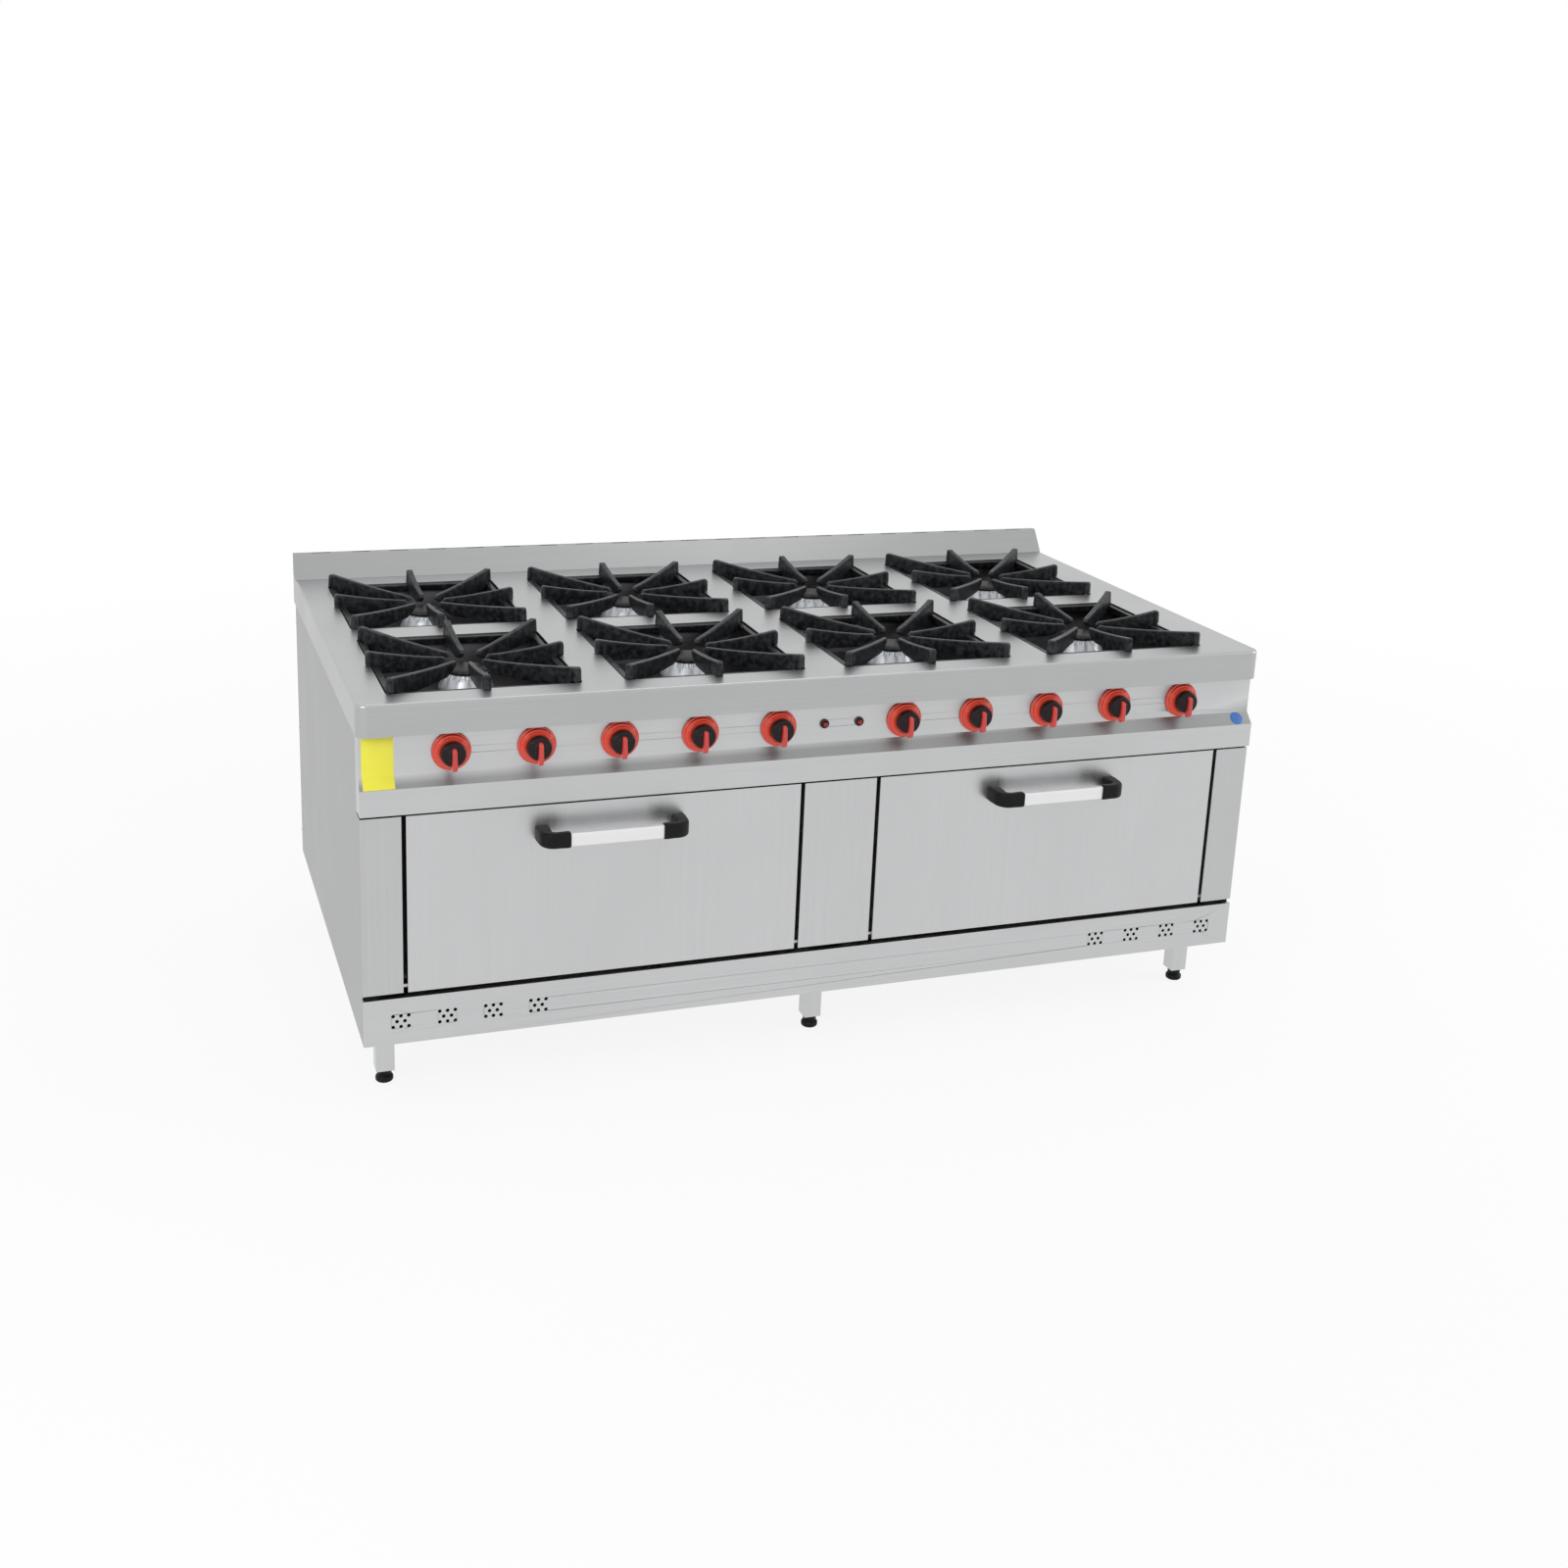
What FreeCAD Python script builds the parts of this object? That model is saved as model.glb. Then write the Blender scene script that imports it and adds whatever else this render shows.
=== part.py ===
import FreeCAD, Part
import Sketcher
import math
import os
import re

# A free-standing gas range: eight open burners over two drop-door ovens, all in folded sheet steel.
# Millimetres. X runs along the front, Y from the front to the back, Z up from the floor.
# Every y given to a function below is counted back from the front edge of the worktop.

doc = FreeCAD.newDocument("gas_range")
sheet = doc.addObject("Spreadsheet::Sheet", "sizes")

SIZES = [
    # overall
    ("range_width", 1800), ("range_depth", 1000), ("worktop_z", 762), ("handle_reach", 50),
    ("wall", 1.5), ("gap", 0.3), ("body_inset", 3), ("back_inset", 2), ("back_fold", 18),
    # worktop, wells and splashback
    ("lip_height", 59), ("corner_round", 20), ("edge_round", 5),
    ("column_pitch", 430), ("column_shift", -20), ("front_row_y", 249), ("row_pitch", 450),
    ("well_width", 352), ("well_depth", 378), ("well_round", 10), ("well_drop", 72),
    ("splash_foot_y", 950), ("splash_height", 50), ("splash_top", 13),
    ("slot_pitch", 84), ("slot_length", 40), ("slot_edge", 2.5), ("flue_width", 200), ("flue_lip", 2),
    # control panel
    ("panel_y", 20), ("ledge_back_z", 629), ("ledge_front_z", 608), ("band_bottom_z", 560),
    ("panel_return", 40), ("knob_z", 665), ("knob_first_x", 127), ("knob_pitch", 152),
    ("shaft_hole", 12), ("igniter_x", 35), ("igniter_z", 666), ("igniter_hole", 13),
    ("igniter_ring", 4), ("igniter_barrel", 32), ("button_size", 9), ("button_proud", 9), ("button_stem", 5),
    ("button_travel", 4),
    # posts, doors, plinth and centre panel
    ("front_y_plane", 6), ("door_top_z", 555), ("door_bottom_z", 221), ("outer_gap_x", 821),
    ("inner_gap_x", 77), ("door_gap", 8), ("post_return", 30), ("shell_depth", 20),
    ("plinth_top_z", 212), ("plinth_bottom_z", 123), ("plinth_y", 4.5), ("plinth_return", 22),
    ("vent_first_x", 580), ("vent_pitch", 83.5), ("vent_z", 167), ("vent_hole", 6.5),
    ("vent_dx", 14), ("vent_dz", 10.5), ("notch_depth", 10),
    ("liner_depth", 24), ("liner_inset_x", 17), ("liner_inset_z", 15),
    ("hinge_y", 16), ("hinge_z", 231), ("pin_bore", 8.1), ("pin_size", 8), ("pin_length", 22),
    # handles
    ("handle_z", 504), ("handle_length", 280), ("bar_length", 172), ("bar_height", 26),
    ("bar_depth", 12), ("bracket_height", 29), ("bracket_depth", 18), ("bracket_foot", 26), ("bar_socket", 14),
    # knobs, bezels and igniters
    ("knob_disc", 50), ("knob_thick", 15), ("knob_front_y", -12), ("grip_width", 9),
    ("grip_up", 16), ("grip_down", 32), ("grip_proud", 9), ("shaft_size", 8), ("shaft_bore", 8.1),
    ("shaft_reach", 14),
    ("bezel_size", 70), ("bezel_step", 4), ("bezel_rise", 5),
    # gas parts
    ("valve_width", 28), ("valve_height", 28), ("valve_front_y", 32), ("valve_back_y", 90),
    ("tap_stub", 14), ("manifold_y", 76), ("manifold_z", 630), ("manifold_size", 26.9), ("manifold_end_x", 838),
    ("manifold_tail", 40), ("manifold_bend", 40), ("inlet_collar", 38), ("collar_front_y", 964),
    ("collar_back_y", 979), ("inlet_size", 26.4), ("inlet_end_y", 998),
    ("feed_size", 10), ("wide_bend", 18), ("tight_bend", 8), ("feed_out", 25), ("feed_drop", 50), ("feed_lane_x", 28),
    ("oven_feed_x", 187), ("swerve_start", 45), ("swerve_end", 22), ("venturi_size", 30), ("venturi_length", 88),
    ("neck_size", 46), ("head_foot", 104), ("head_top", 74), ("head_foot_drop", 54),
    ("head_top_drop", 20), ("cap_size", 80), ("cap_thick", 9), ("cap_slope", 9),
    # grates
    ("arm_thick", 12), ("arm_inner", 36), ("arm_reach_x", 184), ("arm_reach_y", 200),
    ("corner_reach_x", 170), ("corner_reach_y", 184), ("tip_rise", 27), ("inner_rise", 9),
    ("web_drop", 15), ("foot_step", 14), ("ring_width", 12), ("ring_gap", 4), ("ring_height", 13),
    # legs and feet
    ("leg_x", 847), ("leg_front_y", 109), ("leg_back_y", 890), ("leg_size", 34), ("leg_wall", 2),
    ("leg_bottom_z", 25), ("leg_plug", 6), ("foot_size", 33), ("foot_collar", 27), ("stem_size", 10),
    ("stem_bore", 10.1), ("stem_length", 34),
    # chassis and ovens
    ("base_z", 126), ("base_edge", 18), ("base_back_y", 974), ("angle", 30), ("angle_wall", 3),
    ("rail_front_y", 44), ("rail_back_y", 948), ("upright_inset", 6), ("upright_rise", 40),
    ("back_y", 976), ("vent_slot_pitch", 140), ("vent_slot_length", 60), ("vent_slot_height", 8),
    ("vent_slot_rise", 60), ("oven_inset_x", 20), ("oven_floor_z", 247), ("oven_roof_z", 528),
    ("oven_front_y", 52), ("oven_back_y", 860), ("oven_wall", 2), ("oven_flange", 20),
    ("rack_z", 391), ("rack_rod", 7), ("rack_wire", 5), ("rack_front_y", 72), ("rack_back_y", 800),
    ("rack_inset", 6), ("rack_wires", 14), ("runner_width", 12), ("runner_thick", 3), ("runner_pitch", 85),
    ("oven_burner_size", 32), ("oven_burner_inset", 90), ("oven_burner_z", 196), ("oven_burner_y", 420),
    ("flue_y", 950), ("flue_depth", 22), ("flue_z", 465), ("flue_height", 50),
]
for row, (alias, value) in enumerate(SIZES, start=1):
    sheet.set(f"A{row}", alias)
    sheet.set(f"B{row}", str(value))
    sheet.setAlias(f"B{row}", alias)
doc.recompute()

ALIASES = {alias for alias, value in SIZES}
FRONT = "((handle_reach - range_depth) / 2)"
ORIGIN = FreeCAD.Vector(0, 0, 0)
SIDES = (("left", -1), ("right", 1))
nodes = []


def size(alias):
    """The value in the sheet's cell of that name."""
    return float(sheet.get(alias))


def bound(text):
    """An expression with each size's name led back to the sheet."""
    return re.sub(r"[A-Za-z_]\w*", lambda m: "sizes." + m[0] if m[0] in ALIASES else m[0], str(text))


def bind(thing, path, text):
    thing.setExpression(path, bound(text))


def place(thing, x="0", y="0", z="0"):
    """Puts an object at x, y behind the worktop's front edge, and z."""
    bind(thing, "Placement.Base.x", x)
    bind(thing, "Placement.Base.y", f"{FRONT} + ({y})")
    bind(thing, "Placement.Base.z", z)
    return thing


def node(thing, label):
    thing.Label = label
    nodes.append((label, thing))
    return thing


# Part primitives and booleans

def block(name, x, y, z, dx, dy, dz):
    """A box from its low corner and three lengths, all of them expressions."""
    box = doc.addObject("Part::Box", name)
    bind(box, "Length", dx)
    bind(box, "Width", dy)
    bind(box, "Height", dz)
    return place(box, x, y, z)


def rod(name, axis, x, y, z, across, length):
    """A round bar that starts at x, y, z and runs along +X, +Y or +Z."""
    bar = doc.addObject("Part::Cylinder", name)
    turns = {"X": ((0, 1, 0), 90), "Y": ((1, 0, 0), -90), "Z": ((0, 0, 1), 0)}
    direction, angle = turns[axis]
    bar.Placement = FreeCAD.Placement(ORIGIN, FreeCAD.Rotation(FreeCAD.Vector(*direction), angle))
    bind(bar, "Radius", f"({across}) / 2")
    bind(bar, "Height", length)
    return place(bar, x, y, z)


def fused(name, things):
    union = doc.addObject("Part::MultiFuse", name)
    union.Shapes = list(things)
    return union


def cut(name, base, tools):
    tools = list(tools)
    result = doc.addObject("Part::Cut", name)
    result.Base = base
    result.Tool = tools[0] if len(tools) == 1 else fused(name + "_tools", tools)
    return result


def grouped(name, things):
    """Separate solids kept side by side in one object."""
    group = doc.addObject("Part::Compound", name)
    group.Links = list(things)
    return group


# Sketches and PartDesign bodies

def new_body(name):
    body = doc.addObject("PartDesign::Body", name)
    return place(body)


def origin_plane(body, role):
    return next(item for item in body.Origin.OriginFeatures if item.Role == role)


def new_sketch(body, role, name, offset=None):
    sketch = body.newObject("Sketcher::SketchObject", name)
    sketch.AttachmentSupport = [(origin_plane(body, role), "")]
    sketch.MapMode = "FlatFace"
    if offset is not None:
        sketch.AttachmentOffset = offset
    return sketch


def pin_down(sketch, line, x, y):
    """Fixes a line's start point at x, y from the sketch's origin."""
    for kind, text in (("DistanceX", x), ("DistanceY", y)):
        index = sketch.addConstraint(Sketcher.Constraint(kind, -1, 1, line, 1, 1.0))
        bind(sketch, f"Constraints[{index}]", text)


def outline(sketch, corners):
    """A closed outline of straight lines through corners given as expressions.

    The lines start on a circle and take their places when the sketch is solved.
    """
    count = len(corners)
    ring = [FreeCAD.Vector(60 * math.cos(2 * math.pi * i / count), 60 * math.sin(2 * math.pi * i / count), 0)
            for i in range(count)]
    first = sketch.GeometryCount
    for i in range(count):
        sketch.addGeometry(Part.LineSegment(ring[i], ring[(i + 1) % count]), False)
    for i in range(count):
        following = first + (i + 1) % count
        sketch.addConstraint(Sketcher.Constraint("Coincident", first + i, 2, following, 1))
    for i, (x, y) in enumerate(corners):
        pin_down(sketch, first + i, x, y)


def rectangle(x, y, dx, dy):
    """Four corners from a low corner and two lengths."""
    return [(x, y), (f"{x} + {dx}", y), (f"{x} + {dx}", f"{y} + {dy}"), (x, f"{y} + {dy}")]


def hole(sketch, x, y, across):
    """A circle at x, y with a bound diameter."""
    index = sketch.addGeometry(Part.Circle(ORIGIN, FreeCAD.Vector(0, 0, 1), 3), False)
    for kind, text in (("DistanceX", x), ("DistanceY", y)):
        place_of = sketch.addConstraint(Sketcher.Constraint(kind, -1, 1, index, 3, 1.0))
        bind(sketch, f"Constraints[{place_of}]", text)
    width = sketch.addConstraint(Sketcher.Constraint("Diameter", index, 6.0))
    bind(sketch, f"Constraints[{width}]", across)


def pad(body, sketch, length, name, midplane=True, backwards=False):
    feature = body.newObject("PartDesign::Pad", name)
    feature.Profile = sketch
    bind(feature, "Length", length)
    feature.Midplane = midplane
    feature.Reversed = backwards
    sketch.Visibility = False
    return feature


def pocket(body, sketch, length, name, midplane=True, backwards=False):
    """Cuts the sketch's outline out of the body and makes sure that material went."""
    doc.recompute()
    before = body.Shape.Volume
    feature = body.newObject("PartDesign::Pocket", name)
    feature.Profile = sketch
    bind(feature, "Length", length)
    feature.Midplane = midplane
    feature.Reversed = backwards
    doc.recompute()
    if not body.Shape.Volume < before - 1:
        raise RuntimeError(f"{name} cuts nothing")
    return feature


def turned(body, sketch, name):
    """The sketch turned all the way round the sketch's upright axis."""
    feature = body.newObject("PartDesign::Revolution", name)
    feature.Profile = sketch
    feature.ReferenceAxis = (sketch, ["V_Axis"])
    feature.Angle = 360
    return feature


def edges_where(shape, test):
    return [f"Edge{i}" for i, edge in enumerate(shape.Edges, start=1) if test(edge)]


def rounded(body, base, radius, test, name):
    doc.recompute()
    feature = body.newObject("PartDesign::Fillet", name)
    feature.Base = (base, edges_where(base.Shape, test))
    bind(feature, "Radius", radius)
    doc.recompute()
    return feature


# Folded sheet pieces that run the width of the range

def side_panel(label, hand):
    """A flat side with the front folded round into a post and a flange along the back."""
    body = new_body(label)
    outer = f"(range_width / 2 - body_inset) * {hand}"
    face = new_sketch(body, "YZ_Plane", label + "_face")
    place(body, f"{outer} - wall / 2 * {hand}")
    outline(face, [
        ("panel_return + gap", "worktop_z - lip_height"),
        ("panel_return + gap", "door_top_z"),
        ("front_y_plane", "door_top_z"),
        ("front_y_plane", "door_bottom_z"),
        ("front_y_plane + notch_depth", "door_bottom_z"),
        ("front_y_plane + notch_depth", "plinth_top_z"),
        ("plinth_y + wall + gap", "plinth_top_z"),
        ("plinth_y + wall + gap", "plinth_bottom_z"),
        ("range_depth - back_inset", "plinth_bottom_z"),
        ("range_depth - back_inset", "worktop_z - lip_height"),
    ])
    pad(body, face, "wall", label + "_sheet")
    post = new_sketch(body, "XY_Plane", label + "_post")
    inward = -hand
    reach = "(range_width / 2 - body_inset - outer_gap_x - door_gap / 2)"
    bind(post, "AttachmentOffset.Base.z", "door_bottom_z")
    outline(post, [
        ("0", "front_y_plane"),
        (f"{inward} * ({reach} - wall / 2)", "front_y_plane"),
        (f"{inward} * ({reach} - wall / 2)", "front_y_plane + post_return"),
        (f"{inward} * ({reach} - wall * 3 / 2)", "front_y_plane + post_return"),
        (f"{inward} * ({reach} - wall * 3 / 2)", "front_y_plane + wall"),
        ("0", "front_y_plane + wall"),
    ])
    pad(body, post, "door_top_z - door_bottom_z", label + "_post_fold", midplane=False)
    flange = new_sketch(body, "XY_Plane", label + "_flange")
    bind(flange, "AttachmentOffset.Base.z", "plinth_bottom_z")
    outline(flange, [
        ("0", "range_depth - back_inset - wall"),
        (f"{inward} * back_fold", "range_depth - back_inset - wall"),
        (f"{inward} * back_fold", "range_depth - back_inset"),
        ("0", "range_depth - back_inset"),
    ])
    pad(body, flange, "worktop_z - lip_height - plinth_bottom_z", label + "_back_fold", midplane=False)
    bore = new_sketch(body, "YZ_Plane", label + "_pin_hole")
    bind(bore, "AttachmentOffset.Base.z", f"{inward} * {reach}")
    hole(bore, "hinge_y", "hinge_z", "pin_size")
    pocket(body, bore, "wall * 6", label + "_pin_bore")
    node(body, label)


def worktop():
    """A pressed top with a turned-down lip, eight wells and two flue slots."""
    body = new_body("worktop")
    plan = new_sketch(body, "XY_Plane", "worktop_plan")
    bind(plan, "AttachmentOffset.Base.z", "worktop_z - lip_height")
    outline(plan, rectangle("-range_width / 2", "0", "range_width", "range_depth"))
    top = pad(body, plan, "lip_height", "worktop_block", midplane=False)

    def front_corner(edge):
        box = edge.BoundBox
        return box.ZLength > 10 and box.YMax < size("range_depth") / 2

    corners = rounded(body, top, "corner_round", front_corner, "worktop_corners")

    def top_rim(edge):
        box = edge.BoundBox
        return box.ZMin > size("worktop_z") - 0.1 and box.YMin < size("range_depth") - 1

    rounded(body, corners, "edge_round", top_rim, "worktop_rim")
    under = new_sketch(body, "XY_Plane", "worktop_under")
    bind(under, "AttachmentOffset.Base.z", "worktop_z - lip_height")
    inset = "(wall + 2)"
    outline(under, [
        ("-range_width / 2 + wall + corner_round", "wall"),
        ("range_width / 2 - wall - corner_round", "wall"),
        ("range_width / 2 - wall", "wall + corner_round"),
        ("range_width / 2 - wall", "range_depth - wall"),
        ("-range_width / 2 + wall", "range_depth - wall"),
        ("-range_width / 2 + wall", "wall + corner_round"),
    ])
    pocket(body, under, f"lip_height - {inset}", "worktop_hollow", midplane=False, backwards=True)
    wells = new_sketch(body, "XY_Plane", "worktop_wells")
    bind(wells, "AttachmentOffset.Base.z", "worktop_z")
    for x, y in WELLS:
        outline(wells, rectangle(f"{x} - well_width / 2", f"{y} - well_depth / 2", "well_width", "well_depth"))
    opened = pocket(body, wells, "lip_height / 2", "worktop_well_cut", midplane=False)

    def well_corner(edge):
        box = edge.BoundBox
        across = size("range_width") / 2 - 30
        return 1 < box.ZLength < 10 and abs(box.XMin) < across and 30 < box.YMin < size("splash_foot_y") - 30

    eased = rounded(body, opened, "well_round", well_corner, "worktop_well_corners")
    body.Tip = eased
    flues = new_sketch(body, "XY_Plane", "worktop_flue_slots")
    bind(flues, "AttachmentOffset.Base.z", "worktop_z")
    for side, hand in SIDES:
        middle = f"({hand} * {OVEN_X})"
        outline(flues, rectangle(f"{middle} - flue_width / 2 + flue_lip", "flue_y + flue_lip",
                                 "flue_width - flue_lip * 2", "flue_depth - flue_lip * 2"))
    pocket(body, flues, "lip_height / 2", "worktop_flue_cut", midplane=False)
    node(body, "worktop")


def splashback():
    """A hollow upstand with a leaning face and a row of narrow flue slots in its flat top."""
    body = new_body("splashback")
    profile = new_sketch(body, "YZ_Plane", "splash_profile")
    top = "worktop_z + splash_height"
    outline(profile, [
        ("splash_foot_y", "worktop_z"),
        ("range_depth - splash_top", top),
        ("range_depth", top),
        ("range_depth", "worktop_z"),
    ])
    pad(body, profile, "range_width", "splash_block")
    hollow = new_sketch(body, "YZ_Plane", "splash_hollow")
    outline(hollow, [
        ("splash_foot_y + wall * 1.6", "worktop_z - 1"),
        ("range_depth - splash_top + wall * 0.4", f"{top} - wall"),
        ("range_depth - wall", f"{top} - wall"),
        ("range_depth - wall", "worktop_z - 1"),
    ])
    pocket(body, hollow, "range_width - wall * 2", "splash_inside")
    slots = new_sketch(body, "XY_Plane", "splash_slots")
    bind(slots, "AttachmentOffset.Base.z", top)
    count = int(size("range_width") // size("slot_pitch"))
    for i in range(count):
        x = f"slot_pitch * {i - (count - 1) / 2} - slot_length / 2"
        outline(slots, rectangle(x, "range_depth - splash_top + slot_edge", "slot_length",
                                 "splash_top - wall - slot_edge * 2"))
    pocket(body, slots, "wall * 2", "splash_slot_cut", midplane=False)
    node(body, "splashback")


def control_panel():
    """Knob face, sloping ledge and lower band folded from one sheet, closed at both ends."""
    body = new_body("control_panel")
    profile = new_sketch(body, "YZ_Plane", "panel_profile")
    top = "worktop_z - lip_height"
    outline(profile, [
        ("panel_y", top),
        ("panel_y", "ledge_back_z"),
        ("0", "ledge_front_z"),
        ("0", "band_bottom_z"),
        ("panel_return", "band_bottom_z"),
        ("panel_return", top),
    ])
    pad(body, profile, "range_width - body_inset * 2", "panel_block")
    hollow = new_sketch(body, "YZ_Plane", "panel_hollow")
    outline(hollow, [
        ("panel_y + wall", f"{top} + 1"),
        ("panel_y + wall", "ledge_back_z - wall * 0.4"),
        ("wall", "ledge_front_z - wall * 0.7"),
        ("wall", "band_bottom_z + wall"),
        ("panel_return + 1", "band_bottom_z + wall"),
        ("panel_return + 1", f"{top} + 1"),
    ])
    pocket(body, hollow, "range_width - body_inset * 2 - wall * 2", "panel_inside")
    holes = new_sketch(body, "XZ_Plane", "panel_holes")
    for x in KNOB_X:
        hole(holes, x, "knob_z", "shaft_hole")
    for side, hand in SIDES:
        hole(holes, f"{hand} * igniter_x", "igniter_z", "igniter_hole")
    pocket(body, holes, "panel_return * 3", "panel_hole_cut")
    node(body, "control_panel")


def plinth_panel():
    """A channel-folded kick panel with eight clusters of round vents."""
    body = new_body("plinth_panel")
    profile = new_sketch(body, "YZ_Plane", "plinth_profile")
    back = "plinth_y + plinth_return"
    outline(profile, [
        ("plinth_y", "plinth_top_z"),
        ("plinth_y", "plinth_bottom_z"),
        (back, "plinth_bottom_z"),
        (back, "plinth_bottom_z + wall"),
        ("plinth_y + wall", "plinth_bottom_z + wall"),
        ("plinth_y + wall", "plinth_top_z - wall"),
        (back, "plinth_top_z - wall"),
        (back, "plinth_top_z"),
    ])
    pad(body, profile, "range_width - body_inset * 2 - wall * 2 - gap", "plinth_fold")
    ends = new_sketch(body, "XZ_Plane", "plinth_ends")
    bind(ends, "AttachmentOffset.Base.z", "-plinth_y")
    for side, hand in SIDES:
        outline(ends, [
            (f"{hand} * (range_width / 2 - 20)", "plinth_bottom_z"),
            (f"{hand} * (range_width / 2 - body_inset)", "plinth_bottom_z"),
            (f"{hand} * (range_width / 2 - body_inset)", "plinth_top_z"),
            (f"{hand} * (range_width / 2 - 20)", "plinth_top_z"),
        ])
    pad(body, ends, "wall", "plinth_end_sheet", midplane=False, backwards=True)
    vents = new_sketch(body, "XZ_Plane", "plinth_vents")
    for side, hand in SIDES:
        for i in range(4):
            middle = f"{hand} * (vent_first_x + vent_pitch * {i})"
            for across, up in VENT_PATTERN:
                hole(vents, f"{middle} + vent_dx * {across}", f"vent_z + vent_dz * {up}", "vent_hole")
    pocket(body, vents, "plinth_return", "plinth_vent_cut")
    node(body, "plinth_panel")


def centre_panel():
    """The fixed panel between the two doors, folded back along both edges."""
    body = new_body("centre_panel")
    plan = new_sketch(body, "XY_Plane", "centre_plan")
    bind(plan, "AttachmentOffset.Base.z", "door_bottom_z")
    half = "(inner_gap_x - door_gap / 2)"
    back = "front_y_plane + post_return"
    outline(plan, [
        (f"-{half}", "front_y_plane"),
        (half, "front_y_plane"),
        (half, back),
        (f"{half} - wall", back),
        (f"{half} - wall", "front_y_plane + wall"),
        (f"-{half} + wall", "front_y_plane + wall"),
        (f"-{half} + wall", back),
        (f"-{half}", back),
    ])
    pad(body, plan, "door_top_z - door_bottom_z", "centre_fold", midplane=False)
    bores = new_sketch(body, "YZ_Plane", "centre_pin_holes")
    hole(bores, "hinge_y", "hinge_z", "pin_size")
    pocket(body, bores, "range_width / 4", "centre_pin_bore")
    node(body, "centre_panel")


def back_panel():
    """A flat sheet with a round hole for the gas inlet and a row of slots low down."""
    inner = "(range_width / 2 - body_inset - wall)"
    sheet_box = block("back_sheet", f"-{inner}", "back_y", "plinth_bottom_z", f"{inner} * 2", "wall",
                      "worktop_z - lip_height - plinth_bottom_z")
    pipe_hole = rod("back_pipe_hole", "Y", "manifold_end_x", "back_y - wall", "manifold_z", "inlet_collar", "wall * 3")
    vents = []
    for i in range(6):
        x = f"vent_slot_pitch * {i - 2.5} - vent_slot_length / 2"
        vents.append(block("back_vent", x, "back_y - wall", "plinth_bottom_z + vent_slot_rise", "vent_slot_length",
                           "wall * 3", "vent_slot_height"))
    node(cut("back_panel", sheet_box, [pipe_hole] + vents), "back_panel")


def base_tray():
    """The floor of the carcass, a sheet with its edges turned up."""
    half = "(range_width / 2 - body_inset - wall - gap)"
    front = "(plinth_y + plinth_return + 2)"
    outer = block("base_outer", f"-{half}", front, "base_z", f"{half} * 2", f"base_back_y - {front}", "base_edge")
    inner = block("base_inner", f"-{half} + wall", f"{front} + wall", "base_z + wall", f"{half} * 2 - wall * 2",
                  f"base_back_y - {front} - wall * 2", "base_edge")
    node(cut("base_tray", outer, [inner]), "base_tray")


def angle_bar(name, axis, x, y, z, length, turn_1, turn_2):
    """A rolled angle along an axis: two thin legs that meet along one edge.

    turn_1 and turn_2 are +1 or -1, the way each leg points from that edge.
    """
    legs = []
    for index, (wide_1, wide_2) in enumerate((("angle", "angle_wall"), ("angle_wall", "angle"))):
        spans = {"X": (length, wide_1, wide_2), "Y": (wide_1, length, wide_2), "Z": (wide_1, wide_2, length)}
        cross = {"X": ("y", "z"), "Y": ("x", "z"), "Z": ("x", "y")}[axis]
        starts = {"x": x, "y": y, "z": z}
        for key, turn, wide in zip(cross, (turn_1, turn_2), (wide_1, wide_2)):
            if turn < 0:
                starts[key] = f"{starts[key]} - {wide}"
        legs.append(block(f"{name}_leg_{index}", starts["x"], starts["y"], starts["z"], *spans[axis]))
    return legs


def chassis_frame():
    """Welded angle frame: six uprights, rails along the front and back, and cross rails."""
    bars = []
    foot = "base_z + wall"
    tall = "manifold_z + upright_rise - base_z"
    edge = "(range_width / 2 - body_inset - wall * 2 - gap * 2)"
    middle = "(inner_gap_x - door_gap / 2 - wall - upright_inset)"
    front, back = "rail_front_y", "rail_back_y"
    shelf = "band_bottom_z + wall + 2"
    for side, hand in SIDES:
        for x, turn in ((f"{hand} * {edge}", -hand), (f"{hand} * {middle}", -hand)):
            bars += angle_bar(f"{side}_front_upright", "Z", x, front, foot, f"{shelf} - ({foot}) + angle", turn, 1)
            bars += angle_bar(f"{side}_back_upright", "Z", x, back, foot, tall, turn, -1)
        for level, up in ((foot, 1), (f"{shelf} + angle", -1)):
            for x, turn in ((f"{hand} * {edge}", -hand), (f"{hand} * {middle}", -hand)):
                bars += angle_bar(f"{side}_cross", "Y", x, front, level, f"{back} - {front}", turn, up)
    for y, turn in ((front, 1), (back, -1)):
        for level, up in ((foot, 1), (f"{shelf} + angle", -1)):
            bars += angle_bar("long_rail", "X", f"-{edge}", y, level, f"{edge} * 2", turn, up)
    node(fused("chassis_frame", bars), "chassis_frame")


# Legs and screw feet

def legs():
    tubes = []
    for x, y in LEGS:
        tall = "base_z - leg_bottom_z"
        outer = block("leg_outer", f"{x} - leg_size / 2", f"{y} - leg_size / 2", "leg_bottom_z", "leg_size",
                      "leg_size", tall)
        room = "(leg_size - leg_wall * 2)"
        inner = block("leg_inner", f"{x} - {room} / 2", f"{y} - {room} / 2", "leg_bottom_z + leg_plug", room, room,
                      tall)
        bore = rod("leg_bore", "Z", x, y, "leg_bottom_z - 1", "stem_bore", "leg_plug + 2")
        tubes.append(cut("leg", outer, [inner, bore]))
    node(grouped("legs", tubes), "legs")


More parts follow.
